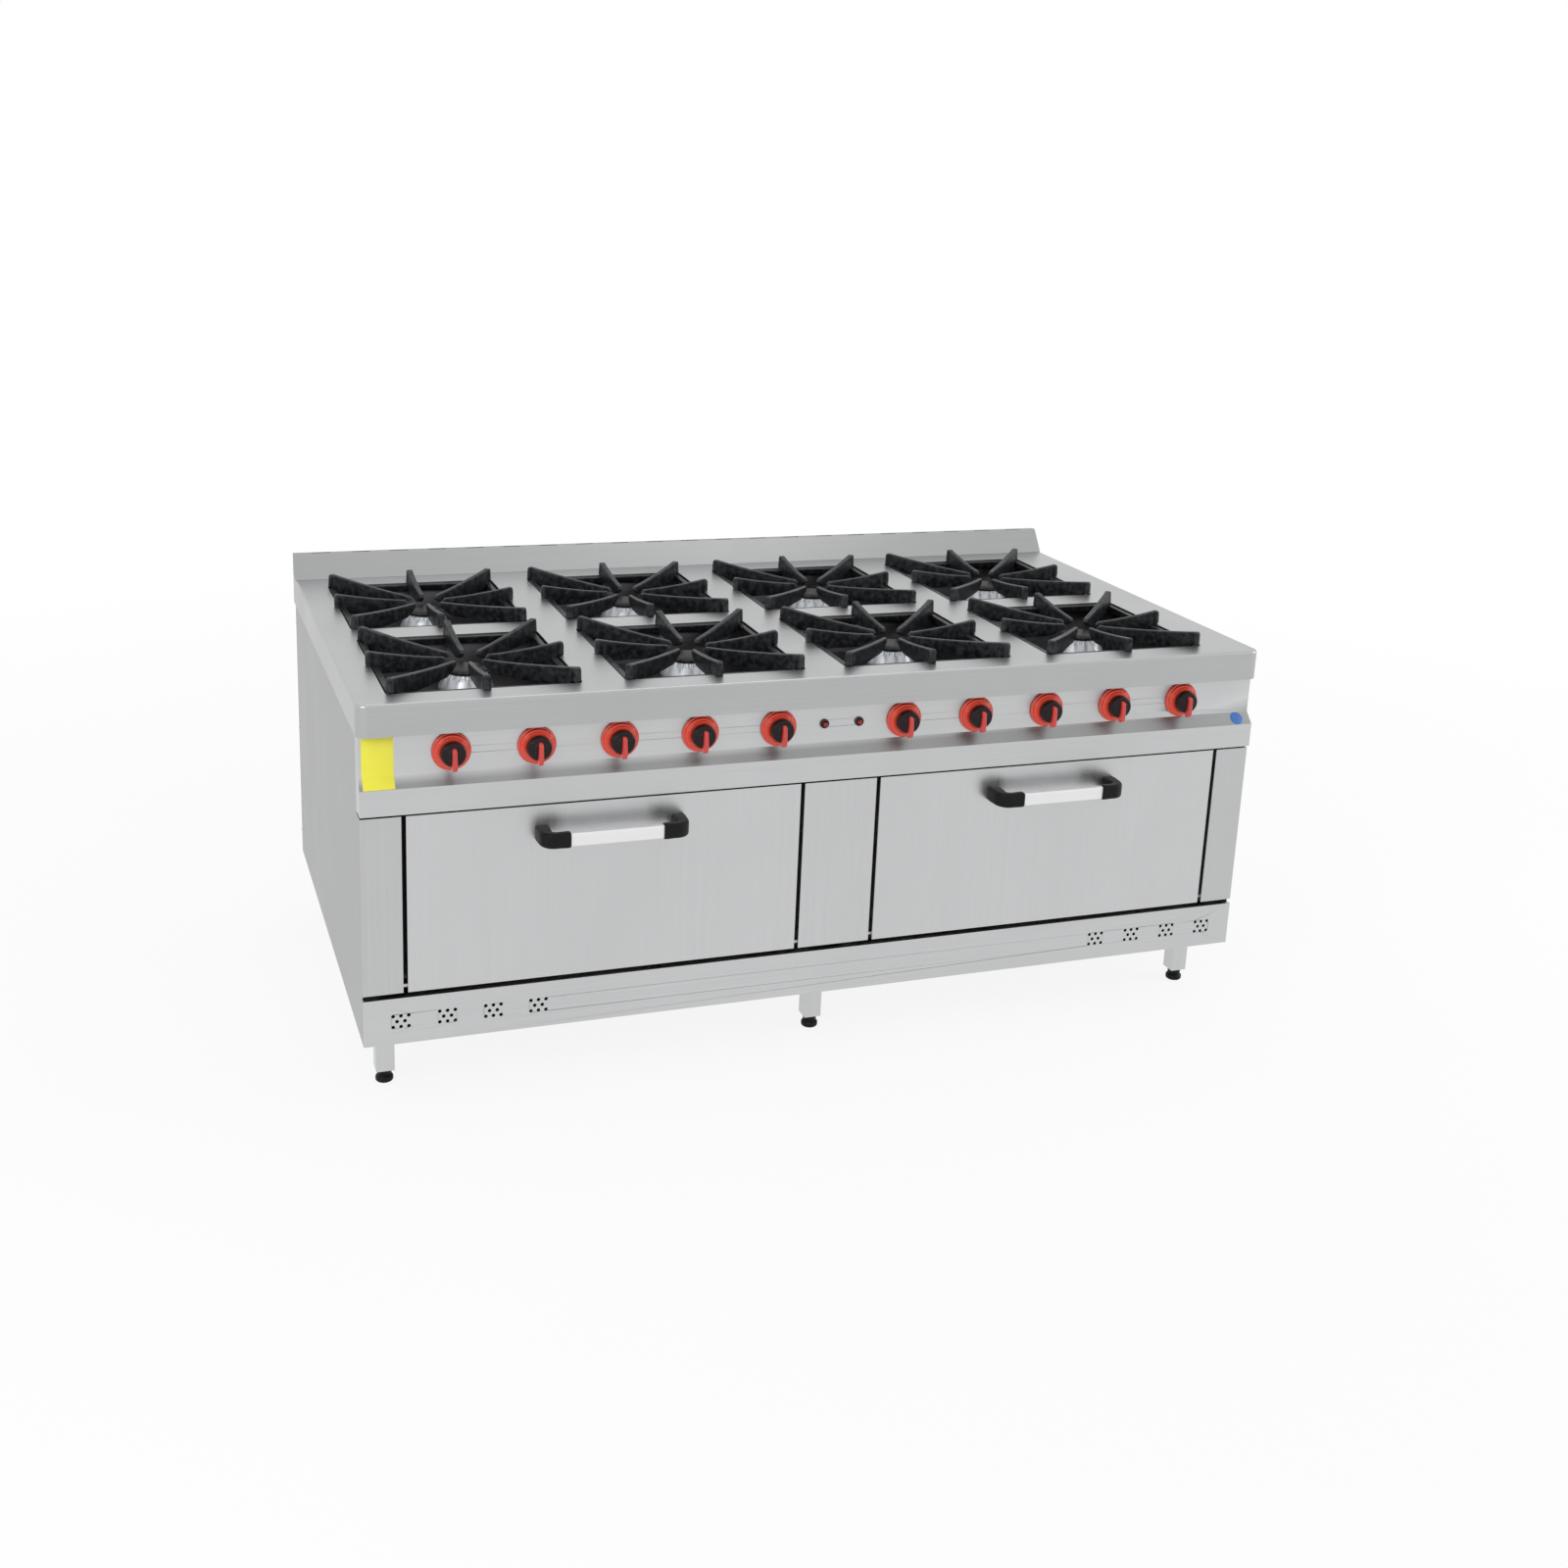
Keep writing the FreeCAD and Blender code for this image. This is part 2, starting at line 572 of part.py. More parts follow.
def screw_foot(label, x, y):
    """A turned foot: wide pad, waist, collar and a threaded stem, all about one upright axis."""
    body = new_body(label)
    place(body, x, y)
    half = new_sketch(body, "XZ_Plane", label + "_half")
    top = "leg_bottom_z - gap"
    outline(half, [
        ("0", "0"),
        ("foot_size / 2 - 2", "0"),
        ("foot_size / 2", "3"),
        ("foot_size / 2", "9"),
        ("foot_collar / 2 - 2", "12"),
        ("foot_collar / 2 - 2", "15"),
        ("foot_collar / 2", "17"),
        ("foot_collar / 2", top),
        ("stem_size / 2", top),
        ("stem_size / 2", f"{top} + stem_length"),
        ("0", f"{top} + stem_length"),
    ])
    turned(body, half, label + "_turning")
    node(body, label)


# Doors and handles

def door(side, hand):
    """An outer shell, an inner liner, a bar handle and its two elbow brackets."""
    low = "(inner_gap_x + door_gap / 2)"
    high = "(outer_gap_x - door_gap / 2)"
    start = low if hand > 0 else f"-{high}"
    wide = f"({high} - {low})"
    tall = "(door_top_z - door_bottom_z)"
    shell = block(f"{side}_shell_outer", start, "front_y_plane", "door_bottom_z", wide, "shell_depth", tall)
    room = block(f"{side}_shell_inner", f"{start} + wall", "front_y_plane + wall", "door_bottom_z + wall",
                 f"{wide} - wall * 2", "shell_depth", f"{tall} - wall * 2")
    bore = rod(f"{side}_shell_bore", "X", f"{start} - 2", "hinge_y", "hinge_z", "pin_bore", f"{wide} + 4")
    node(cut(f"{side}_door_shell", shell, [room, bore]), f"{side}_door_outer")

    inset_x, inset_z = "liner_inset_x", "liner_inset_z"
    back = "front_y_plane + shell_depth"
    liner = block(f"{side}_liner_outer", f"{start} + {inset_x}", back, f"door_bottom_z + {inset_z}",
                  f"{wide} - {inset_x} * 2", "liner_depth", f"{tall} - {inset_z} * 2")
    hollow = block(f"{side}_liner_inner", f"{start} + {inset_x} + wall", f"{back} - 1",
                   f"door_bottom_z + {inset_z} + wall", f"{wide} - {inset_x} * 2 - wall * 2",
                   "liner_depth + 1 - wall", f"{tall} - {inset_z} * 2 - wall * 2")
    web = block(f"{side}_liner_web", f"{start} + wall", f"{back} - wall", "door_bottom_z + 30",
                f"{wide} - wall * 2", "wall", f"{tall} - 30 - wall")
    pan = cut(f"{side}_liner_pan", liner, [hollow])
    node(fused(f"{side}_liner", [pan, web]), f"{side}_door_liner")

    middle = f"({start} + {wide} / 2)"
    bar_y = "(-handle_reach + (bracket_depth - bar_depth) / 2)"
    bar = new_body(f"{side}_bar")
    section = new_sketch(bar, "YZ_Plane", f"{side}_bar_section")
    outline(section, rectangle(bar_y, "handle_z - bar_height / 2", "bar_depth", "bar_height"))
    place(bar, middle)
    stick = pad(bar, section, "bar_length + bar_socket * 2", f"{side}_bar_length")
    rounded(bar, stick, "bar_depth * 0.4", lambda edge: edge.BoundBox.XLength > 50, f"{side}_bar_round")
    node(bar, f"{side}_handle_bar")

    brackets = []
    for way in (-1, 1):
        elbow = new_body(f"{side}_elbow")
        place(elbow, middle)
        plan = new_sketch(elbow, "XY_Plane", f"{side}_elbow_plan")
        bind(plan, "AttachmentOffset.Base.z", "handle_z")
        end, near = "handle_length / 2", "bar_length / 2"
        outline(plan, [
            (f"{way} * ({end})", "front_y_plane"),
            (f"{way} * ({end})", "-handle_reach"),
            (f"{way} * ({near})", "-handle_reach"),
            (f"{way} * ({near})", "-handle_reach + bracket_depth"),
            (f"{way} * ({end} - bracket_foot)", "-handle_reach + bracket_depth"),
            (f"{way} * ({end} - bracket_foot)", "front_y_plane"),
        ])
        raised = pad(elbow, plan, "bracket_height", f"{side}_elbow_pad")
        far = size("handle_length") / 2

        def outer_corner(edge):
            box = edge.BoundBox
            return box.ZLength > 10 and abs(abs(box.XMin) - far) < 1 and box.YMin < -30

        swept = rounded(elbow, raised, "bracket_depth * 1.3", outer_corner, f"{side}_elbow_sweep")

        def inner_corner(edge):
            box = edge.BoundBox
            return box.ZLength > 10 and abs(abs(box.XMin) - far + size("bracket_foot")) < 1 and box.YMin < -30

        swept = rounded(elbow, swept, "bracket_depth * 0.7", inner_corner, f"{side}_elbow_crook")

        def rim(edge):
            box = edge.BoundBox
            return box.ZLength < 0.1 and box.YMin < size("front_y_plane") - 1

        rounded(elbow, swept, "3", rim, f"{side}_elbow_ease")
        mouth = new_sketch(elbow, "YZ_Plane", f"{side}_elbow_mouth")
        bind(mouth, "AttachmentOffset.Base.z", f"{way} * (bar_length / 2 + bar_socket / 2)")
        outline(mouth, rectangle(bar_y, "handle_z - bar_height / 2", "bar_depth", "bar_height"))
        pocket(elbow, mouth, "bar_socket", f"{side}_elbow_socket")
        brackets.append(elbow)
    node(grouped(f"{side}_brackets", brackets), f"{side}_handle_brackets")


def hinge_pins():
    pins = []
    for side, hand in SIDES:
        for post, way in (("outer_gap_x", 1), ("inner_gap_x", -1)):
            edge = f"{hand} * ({post} + {way} * (door_gap / 2 + wall + 2))"
            inward = -hand * way
            start = edge if inward > 0 else f"{edge} - pin_length"
            pins.append(rod(f"{side}_pin", "X", start, "hinge_y", "hinge_z", "pin_size", "pin_length"))
    node(grouped("hinge_pin_set", pins), "door_hinge_pins")


# Knobs, bezels and buttons

def bezel_set():
    """Ten stepped collars round the knob shafts and two plain ones round the igniter buttons."""
    collars = []
    for x in KNOB_X:
        steps = []
        for i in range(3):
            steps.append(rod("bezel_step_disc", "Y", x, f"panel_y - bezel_rise * {i + 1}", "knob_z",
                             f"bezel_size - bezel_step * {i} * 2", f"bezel_rise * {i + 1}"))
        bore = rod("bezel_bore", "Y", x, "0", "knob_z", "shaft_hole", "panel_return")
        collars.append(cut("bezel", fused("bezel_steps", steps), [bore]))
    for side, hand in SIDES:
        x, z = f"{hand} * igniter_x", "igniter_z"
        ring = rod("igniter_ring", "Y", x, "panel_y - igniter_ring", z, "igniter_hole + 5", "igniter_ring")
        barrel = rod("igniter_barrel", "Y", x, "panel_y - 1", z, "igniter_hole - shaft_bore + shaft_size",
                     "igniter_barrel")
        bore = rod("igniter_bore", "Y", x, "0", z, "button_size + shaft_bore - shaft_size",
                   "panel_y + button_travel + 3")
        well = rod("igniter_well", "Y", x, "panel_y", z, "button_stem + shaft_bore - shaft_size",
                   "igniter_barrel - 4")
        collars.append(cut("igniter_collar", fused("igniter_case", [ring, barrel]), [bore, well]))
    node(grouped("bezel_group", collars), "control_bezels")


def knob(label, x):
    """A disc on a shaft, with a straight grip across its face that points down when the gas is off."""
    body = new_body(label)
    place(body, x, "0", "knob_z")
    half = new_sketch(body, "XZ_Plane", label + "_half",
                      FreeCAD.Placement(ORIGIN, FreeCAD.Rotation(FreeCAD.Vector(1, 0, 0), 90)))
    front = "-knob_front_y"
    rear = "(knob_thick + knob_front_y)"
    outline(half, [
        ("0", front),
        ("knob_disc / 2 - 3", front),
        ("knob_disc / 2", f"{front} - 3"),
        ("knob_disc / 2 + 1", f"-{rear}"),
        ("shaft_size / 2", f"-{rear}"),
        ("shaft_size / 2", "-valve_front_y - shaft_reach"),
        ("0", "-valve_front_y - shaft_reach"),
    ])
    turned(body, half, label + "_turning")
    grip = new_sketch(body, "XZ_Plane", label + "_grip")
    outline(grip, [
        ("-grip_width / 2", "-grip_down"),
        ("grip_width / 2", "-grip_down"),
        ("grip_width / 2", "grip_up"),
        ("-grip_width / 2", "grip_up"),
    ])
    bind(grip, "AttachmentOffset.Base.z", "-knob_front_y - 2")
    pad(body, grip, "grip_proud + 2", label + "_grip_pad", midplane=False)
    node(body, label)


def igniter_button(label, hand):
    """A push button: a head that stands proud of its collar and a stem in the collar's barrel."""
    x, z = f"{hand} * igniter_x", "igniter_z"
    head = rod(label + "_head", "Y", x, "panel_y - button_proud", z, "button_size", "button_proud")
    stem = rod(label + "_stem", "Y", x, "panel_y - 1", z, "button_stem", "igniter_barrel - button_travel * 2 - 2")
    node(fused(label + "_turning", [head, stem]), label)


# Gas train

def rounded_path(points, radius):
    """A wire through the points, with each corner turned on an arc of the radius."""
    spots = [FreeCAD.Vector(*p) for p in points]
    edges = []
    start = spots[0]
    for before, corner, after in zip(spots, spots[1:], spots[2:]):
        leaving = (before - corner).normalize()
        going = (after - corner).normalize()
        half = leaving.getAngle(going) / 2
        back = radius / math.tan(half)
        first = corner + leaving * back
        last = corner + going * back
        centre = corner + (leaving + going).normalize() * (radius / math.sin(half))
        crown = centre + (corner - centre).normalize() * radius
        edges.append(Part.LineSegment(start, first).toShape())
        edges.append(Part.Arc(first, crown, last).toShape())
        start = last
    edges.append(Part.LineSegment(start, spots[-1]).toShape())
    return Part.Wire(edges)


def pipe(points, across, radius):
    """A solid round bar swept along a rounded path. Points give y from the worktop's front edge."""
    lead = (size("handle_reach") - size("range_depth")) / 2
    path = rounded_path([(x, y + lead, z) for x, y, z in points], radius)
    start = path.Edges[0].Vertexes[0].Point
    along = path.Edges[0].tangentAt(path.Edges[0].FirstParameter)
    ring = Part.Wire([Part.makeCircle(across / 2, start, along)])
    swept = path.makePipeShell([ring], True, False)
    if swept.Volume < 0:
        swept.reverse()
    return swept


def made(name, shape):
    thing = doc.addObject("Part::Feature", name)
    thing.Shape = shape
    return thing


def knob_x(index):
    """The knob's x, counted 0 to 9 from the left."""
    step = index - 4 if index < 5 else index - 5
    hand = -1 if index < 5 else 1
    return hand * size("knob_first_x") + step * size("knob_pitch")


def gas_valves():
    """Ten taps, each a block with a blind bore for the knob's shaft and a stub down to the manifold."""
    taps = []
    for x in KNOB_X:
        case = block("tap_case", f"{x} - valve_width / 2", "valve_front_y", "knob_z - valve_height / 2",
                     "valve_width", "valve_back_y - valve_front_y", "valve_height")
        crown = "manifold_z + manifold_size / 2"
        stub = rod("stub", "Z", x, "manifold_y", crown, "tap_stub", f"knob_z - valve_height / 2 + 2 - ({crown})")
        bore = rod("tap_bore", "Y", x, "valve_front_y - 1", "knob_z", "shaft_bore", "shaft_reach + 4")
        taps.append(cut("tap", fused("tap_body", [case, stub]), [bore]))
    node(grouped("tap_row", taps), "gas_valves")


def gas_manifold():
    """The supply pipe: along behind the taps, back past the right oven to a collar in the back panel.

    A plain spigot stands out of the collar, for the union of the supply hose.
    """
    end = size("manifold_end_x")
    y, z = size("manifold_y"), size("manifold_z")
    run = [(knob_x(0) - size("manifold_tail"), y, z), (end, y, z), (end, size("back_y"), z)]
    supply = pipe(run, size("manifold_size"), size("manifold_bend"))
    lead = (size("handle_reach") - size("range_depth")) / 2
    start = size("collar_front_y")
    for across, far in (("inlet_collar", "collar_back_y"), ("inlet_size", "inlet_end_y")):
        seat = FreeCAD.Vector(end, start + lead, z)
        length = size(far) - start
        supply = supply.fuse(Part.makeCylinder(size(across) / 2, length, seat, FreeCAD.Vector(0, 1, 0)))
    node(made("gas_manifold", supply), "gas_manifold")


def feed_pipes():
    """One pipe from each tap: eight to the open burners and two down between the ovens."""
    runs = []
    back = size("valve_back_y")
    height = size("knob_z")
    front_end = size("front_row_y") - size("venturi_length")
    rear_end = front_end + size("row_pitch")
    for index, (column, row) in enumerate(TAP_SERVES):
        x = knob_x(index)
        if row == "oven":
            hand = -1 if x < 0 else 1
            lane = hand * size("feed_lane_x")
            out = back + size("feed_out")
            under = height - size("feed_drop")
            low = size("oven_burner_z")
            runs.append([(x, back, height), (x, out, height), (x, out, under), (lane, out, under), (lane, out, low),
                         (lane, size("oven_burner_y"), low), (hand * size("oven_feed_x"), size("oven_burner_y"), low)])
            continue
        burner = size("column_shift") + (column - 1.5) * size("column_pitch")
        end = front_end if row == "front" else rear_end
        runs.append([(x, back, height), (x, end - size("swerve_start"), height),
                     (burner, end - size("swerve_end"), height), (burner, end, height)])
    pipes = []
    for points in runs:
        radius = "wide_bend" if len(points) > 4 else "tight_bend"
        pipes.append(pipe(points, size("feed_size"), size(radius)))
    node(made("feed_pipe_set", Part.makeCompound(pipes)), "burner_feed_pipes")


def burner_set():
    """Eight burner castings: a level mixing tube, a neck up through the tray and a tapered head."""
    castings, caps = [], []
    for x, y in WELLS:
        tube = rod("mixing_tube", "Y", x, f"{y} - venturi_length", "knob_z", "venturi_size",
                   "venturi_length + neck_size / 2 - 4")
        neck = rod("burner_neck", "Z", x, y, "knob_z - venturi_size / 2 - 2", "neck_size",
                   "worktop_z - head_foot_drop + 2 - knob_z + venturi_size / 2 + 2")
        head = doc.addObject("Part::Cone", "burner_head")
        bind(head, "Radius1", "head_foot / 2")
        bind(head, "Radius2", "head_top / 2")
        bind(head, "Height", "head_foot_drop - head_top_drop")
        place(head, x, y, "worktop_z - head_foot_drop")
        castings.append(fused("burner_casting", [tube, neck, head]))
        disc = rod("cap_disc", "Z", x, y, "worktop_z - head_top_drop", "cap_size", "cap_thick * 0.55")
        dome = doc.addObject("Part::Cone", "cap_dome")
        bind(dome, "Radius1", "cap_size / 2")
        bind(dome, "Radius2", "cap_size / 2 - cap_slope")
        bind(dome, "Height", "cap_thick * 0.45")
        place(dome, x, y, "worktop_z - head_top_drop + cap_thick * 0.55")
        caps.append(fused("burner_cap", [disc, dome]))
    node(grouped("burner_castings", castings), "burner_bodies")
    node(grouped("burner_cap_set", caps), "burner_caps")


def wedge(name, x, y, z, foot_x, foot_y, top_x, top_y, tall):
    """A flat-topped wedge whose level sections grow from a foot to a top, centred on x, y."""
    solid = doc.addObject("Part::Wedge", name)
    for path, text in (("Xmin", f"-({foot_x}) / 2"), ("Xmax", f"({foot_x}) / 2"), ("Ymin", "0"), ("Ymax", tall),
                       ("Zmin", f"-({foot_y}) / 2"), ("Zmax", f"({foot_y}) / 2"), ("X2min", f"-({top_x}) / 2"),
                       ("X2max", f"({top_x}) / 2"), ("Z2min", f"-({top_y}) / 2"), ("Z2max", f"({top_y}) / 2")):
        bind(solid, path, text)
    solid.Placement = FreeCAD.Placement(ORIGIN, FreeCAD.Rotation(FreeCAD.Vector(1, 0, 0), 90))
    return place(solid, x, y, z)


def spill_trays():
    """A drip pan under each well, with sloping walls and a hole for the burner's neck."""
    pans = []
    rim_x, rim_y = "well_width + 10", "well_depth + 10"
    foot_x, foot_y = "well_width - 40", "well_depth - 40"
    drop = "well_drop"
    for x, y in WELLS:
        outer = wedge("pan_outer", x, y, f"worktop_z - wall - 2 - {drop}", foot_x, foot_y, rim_x, rim_y, drop)
        inner = wedge("pan_inner", x, y, f"worktop_z - wall - 2 - {drop} + wall", f"{foot_x} - 2", f"{foot_y} - 2",
                      f"{rim_x} - 3", f"{rim_y} - 3", drop)
        bore = rod("pan_bore", "Z", x, y, f"worktop_z - {drop} - 20", "neck_size", "40")
        pans.append(cut("pan", outer, [inner, bore]))
    node(grouped("pan_set", pans), "spill_trays")


# Cast-iron grates

def arm(sketch, reach, way):
    """The upright web of one finger: high at its tip, dipping towards the burner, stepped to rest on the top.

    Heights are counted from the worktop's surface.
    """
    outline(sketch, [
        (f"{way} * arm_inner", "inner_rise - 6"),
        (f"{way} * (arm_inner + 5)", "inner_rise"),
        (f"{way} * (arm_inner * 0.5 + ({reach}) * 0.5)", "inner_rise + (tip_rise - inner_rise) * 0.36"),
        (f"{way} * (({reach}) - 5)", "tip_rise"),
        (f"{way} * ({reach})", "tip_rise - 4"),
        (f"{way} * ({reach})", "gap"),
        (f"{way} * (({reach}) - foot_step)", "gap"),
        (f"{way} * (({reach}) - foot_step)", "-web_drop"),
        (f"{way} * (arm_inner + 34)", "-web_drop"),
    ])


def grate(label, x, y):
    """Eight fingers on a low ring, one casting."""
    body = new_body(label)
    place(body, x, y, "worktop_z")
    corner = math.degrees(math.atan2(size("corner_reach_y"), size("corner_reach_x")))
    corner_reach = "sqrt(corner_reach_x * corner_reach_x + corner_reach_y * corner_reach_y)"
    spokes = (("east", "arm_reach_x", 0), ("north", "arm_reach_y", 90), ("rising", corner_reach, corner),
              ("falling", corner_reach, -corner))
    for name, reach, angle in spokes:
        turn = FreeCAD.Placement(ORIGIN, FreeCAD.Rotation(FreeCAD.Vector(0, 1, 0), angle))
        web = new_sketch(body, "XZ_Plane", f"{label}_{name}", turn)
        for way in (-1, 1):
            arm(web, reach, way)
        pad(body, web, "arm_thick", f"{label}_{name}_web")
    ring = new_sketch(body, "XY_Plane", f"{label}_ring")
    bind(ring, "AttachmentOffset.Base.z", "-web_drop")
    for inset in ("ring_gap", "(ring_gap + ring_width)"):
        outline(ring, rectangle(f"-well_width / 2 + {inset}", f"-well_depth / 2 + {inset}",
                                f"well_width - 2 * {inset}", f"well_depth - 2 * {inset}"))
    pad(body, ring, "ring_height", f"{label}_ring_pad", midplane=False)
    node(body, label)


# Ovens

def oven(side, hand):
    """A lined cavity with a front flange, open at the front."""
    low = "(inner_gap_x + door_gap / 2 + oven_inset_x)"
    high = "(outer_gap_x - door_gap / 2 - oven_inset_x)"
    start = low if hand > 0 else f"-{high}"
    wide = f"({high} - {low})"
    tall = "(oven_roof_z - oven_floor_z)"
    deep = "(oven_back_y - oven_front_y)"
    skin = "oven_wall"
    outer = block(f"{side}_oven_outer", f"{start} - {skin}", "oven_front_y", f"oven_floor_z - {skin}",
                  f"{wide} + {skin} * 2", f"{deep} + {skin}", f"{tall} + {skin} * 2")
    lip = "oven_flange"
    flange = block(f"{side}_oven_flange", f"{start} - {lip}", "oven_front_y", f"oven_floor_z - {lip}",
                   f"{wide} + {lip} * 2", skin, f"{tall} + {lip} * 2")
    room = block(f"{side}_oven_room", start, "oven_front_y - 1", "oven_floor_z", wide, f"{deep} + 1", tall)
    flue = block(f"{side}_oven_flue_hole", f"{start} + {wide} / 2 - flue_width / 2 + flue_lip",
                 "oven_back_y - oven_wall", "flue_z + flue_lip", "flue_width - flue_lip * 2", "oven_wall * 3",
                 "flue_height - flue_lip * 2")
    node(cut(f"{side}_oven", fused(f"{side}_oven_skin", [outer, flange]), [room, flue]), f"{side}_oven_cavity")

    x0, x1 = f"{start} + rack_inset", f"{start} + {wide} - rack_inset"
    rods = []
    for x in (x0, x1):
        rods.append(rod(f"{side}_rack_rail", "Y", x, "rack_front_y", "rack_z", "rack_rod",
                        "rack_back_y - rack_front_y"))
    for y in ("rack_front_y", "rack_back_y", "(rack_front_y + rack_back_y) / 2"):
        rods.append(rod(f"{side}_rack_bar", "X", x0, y, "rack_z", "rack_rod", f"{wide} - rack_inset * 2"))
    for i in range(1, int(size("rack_wires")) + 1):
        x = f"{x0} + ({wide} - rack_inset * 2) * {i} / (rack_wires + 1)"
        rods.append(rod(f"{side}_rack_wire", "Y", x, "rack_front_y - 1", "rack_z + rack_rod / 2", "rack_wire",
                        "rack_back_y - rack_front_y + 2"))
    node(fused(f"{side}_rack", rods), f"{side}_oven_rack")

    runners = []
    for x in (start, f"{start} + {wide} - runner_width"):
        for drop in ("0", "runner_pitch"):
            z = f"rack_z - rack_rod / 2 - gap - runner_thick - {drop}"
            runners.append(block(f"{side}_runner", x, "rack_front_y", z, "runner_width", "rack_back_y - rack_front_y",
                                 "runner_thick"))
    duct = flue_duct(side, f"({start} + {wide} / 2)")
    burner = rod(f"{side}_oven_burner", "X", f"{start} + oven_burner_inset", "oven_burner_y", "oven_burner_z",
                 "oven_burner_size", f"{wide} - oven_burner_inset * 2")
    return runners, duct, burner


def flue_duct(side, middle):
    """A flat duct from the oven's back wall up into the splashback."""
    left = f"{middle} - flue_width / 2"
    behind = "oven_back_y + oven_wall"
    run = block(f"{side}_duct_run", left, behind, "flue_z", "flue_width", f"flue_y - ({behind}) + 5", "flue_height")
    rise = block(f"{side}_duct_rise", left, "flue_y", "flue_z", "flue_width", "flue_depth",
                 "worktop_z - wall - 2 - flue_z")
    run_in = block(f"{side}_duct_run_in", f"{left} + wall", f"{behind} - 1", "flue_z + wall",
                   "flue_width - wall * 2", f"flue_y - ({behind}) + 8", "flue_height - wall * 2")
    rise_in = block(f"{side}_duct_rise_in", f"{left} + wall", "flue_y + wall", "flue_z + wall",
                    "flue_width - wall * 2", "flue_depth - wall * 2", "worktop_z - flue_z")
    return cut(f"{side}_duct", fused(f"{side}_duct_skin", [run, rise]), [run_in, rise_in])


# What repeats, as expressions

WELLS = [(f"(column_shift + column_pitch * {column - 1.5})", f"front_row_y + row_pitch * {row}") for row in range(2)
         for column in range(4)]
KNOB_X = [f"-knob_first_x - knob_pitch * {4 - i}" for i in range(5)]
KNOB_X += [f"knob_first_x + knob_pitch * {i}" for i in range(5)]
TAP_SERVES = [(0, "front"), (0, "rear"), (None, "oven"), (1, "rear"), (1, "front"),
              (2, "front"), (2, "rear"), (None, "oven"), (3, "rear"), (3, "front")]
LEGS = [(x, y) for y in ("leg_front_y", "leg_back_y") for x in ("-leg_x", "0", "leg_x")]
VENT_PATTERN = [(-1, 1), (0, 1), (1, 1), (-0.5, 0), (0.5, 0), (-1, -1), (0, -1), (1, -1)]
OVEN_X = "(inner_gap_x + outer_gap_x) / 2"

for name, way in SIDES:
    side_panel(f"{name}_side_panel", way)
worktop()
splashback()
control_panel()
plinth_panel()
centre_panel()
back_panel()
base_tray()
chassis_frame()
legs()
for number, (leg_x, leg_y) in enumerate(LEGS, start=1):
    screw_foot(f"foot_{number}", leg_x, leg_y)
for name, way in SIDES:
    door(name, way)
hinge_pins()
bezel_set()
for number, knob_place in enumerate(KNOB_X, start=1):
    knob(f"knob_{number}", knob_place)
for name, way in SIDES:
    igniter_button(f"igniter_button_{name}", way)
gas_valves()
gas_manifold()
feed_pipes()
burner_set()
spill_trays()
for number, (well_x, well_y) in enumerate(WELLS, start=1):
    grate(f"grate_{number}", well_x, well_y)
all_runners, all_ducts, all_burners = [], [], []
for name, way in SIDES:
    rack_runners, duct_piece, burner_tube = oven(name, way)
    all_runners += rack_runners
    all_ducts.append(duct_piece)
    all_burners.append(burner_tube)
node(grouped("runner_set", all_runners), "rack_runners")
node(grouped("duct_set", all_ducts), "oven_flues")
node(grouped("oven_burner_set", all_burners), "oven_burners")

doc.recompute()
faults = [thing.Label for thing in doc.Objects if {"Invalid", "Error"} & set(thing.State)]
if faults:
    raise RuntimeError(f"objects that failed: {faults}")
for label, thing in nodes:
    if thing.Shape.isNull() or not thing.Shape.isValid() or not thing.Shape.Solids:
        raise RuntimeError(f"{label} has no sound solid")

os.makedirs("parts", exist_ok=True)
for label, thing in nodes:
    thing.Shape.exportStep(f"parts/{label}.step")
    box = thing.Shape.BoundBox
    print(label, len(thing.Shape.Solids), "solids", f"{thing.Shape.Volume / 1000:.0f} cm3",
          f"x {box.XMin:.1f} {box.XMax:.1f} y {box.YMin:.1f} {box.YMax:.1f} z {box.ZMin:.1f} {box.ZMax:.1f}")
print(len(nodes), "nodes")
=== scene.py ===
import math

import bmesh
import bpy
import numpy as np
from mathutils import Matrix, Vector


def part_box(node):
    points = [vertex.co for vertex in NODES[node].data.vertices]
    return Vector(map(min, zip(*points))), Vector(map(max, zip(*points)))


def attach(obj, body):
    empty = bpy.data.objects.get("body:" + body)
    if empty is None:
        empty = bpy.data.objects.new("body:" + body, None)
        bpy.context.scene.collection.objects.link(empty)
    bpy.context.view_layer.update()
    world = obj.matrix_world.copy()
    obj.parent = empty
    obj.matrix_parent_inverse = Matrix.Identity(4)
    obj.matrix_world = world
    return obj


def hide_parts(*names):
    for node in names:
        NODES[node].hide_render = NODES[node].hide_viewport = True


bl_info = {
    "name": "Gas range",
    "version": (1, 0, 0),
    "blender": (4, 5, 0),
    "location": "3D View > Sidebar > Range",
    "description": "Dresses a packed eight-burner gas range and sets up its studio",
    "category": "Object",
}

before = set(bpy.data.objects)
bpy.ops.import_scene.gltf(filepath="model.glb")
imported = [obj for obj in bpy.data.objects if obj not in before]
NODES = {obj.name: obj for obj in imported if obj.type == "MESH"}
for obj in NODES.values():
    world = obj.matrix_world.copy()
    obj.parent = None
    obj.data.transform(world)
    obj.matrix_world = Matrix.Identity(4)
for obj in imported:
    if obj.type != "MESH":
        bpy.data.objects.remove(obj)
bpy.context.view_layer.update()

# Forms are in millimetres: x along the front, y back from the worktop's front edge, z up from the floor.
# The studio and the settings are in metres.
MM = 0.001
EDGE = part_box("worktop")[0].y
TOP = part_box("worktop")[1].z / MM


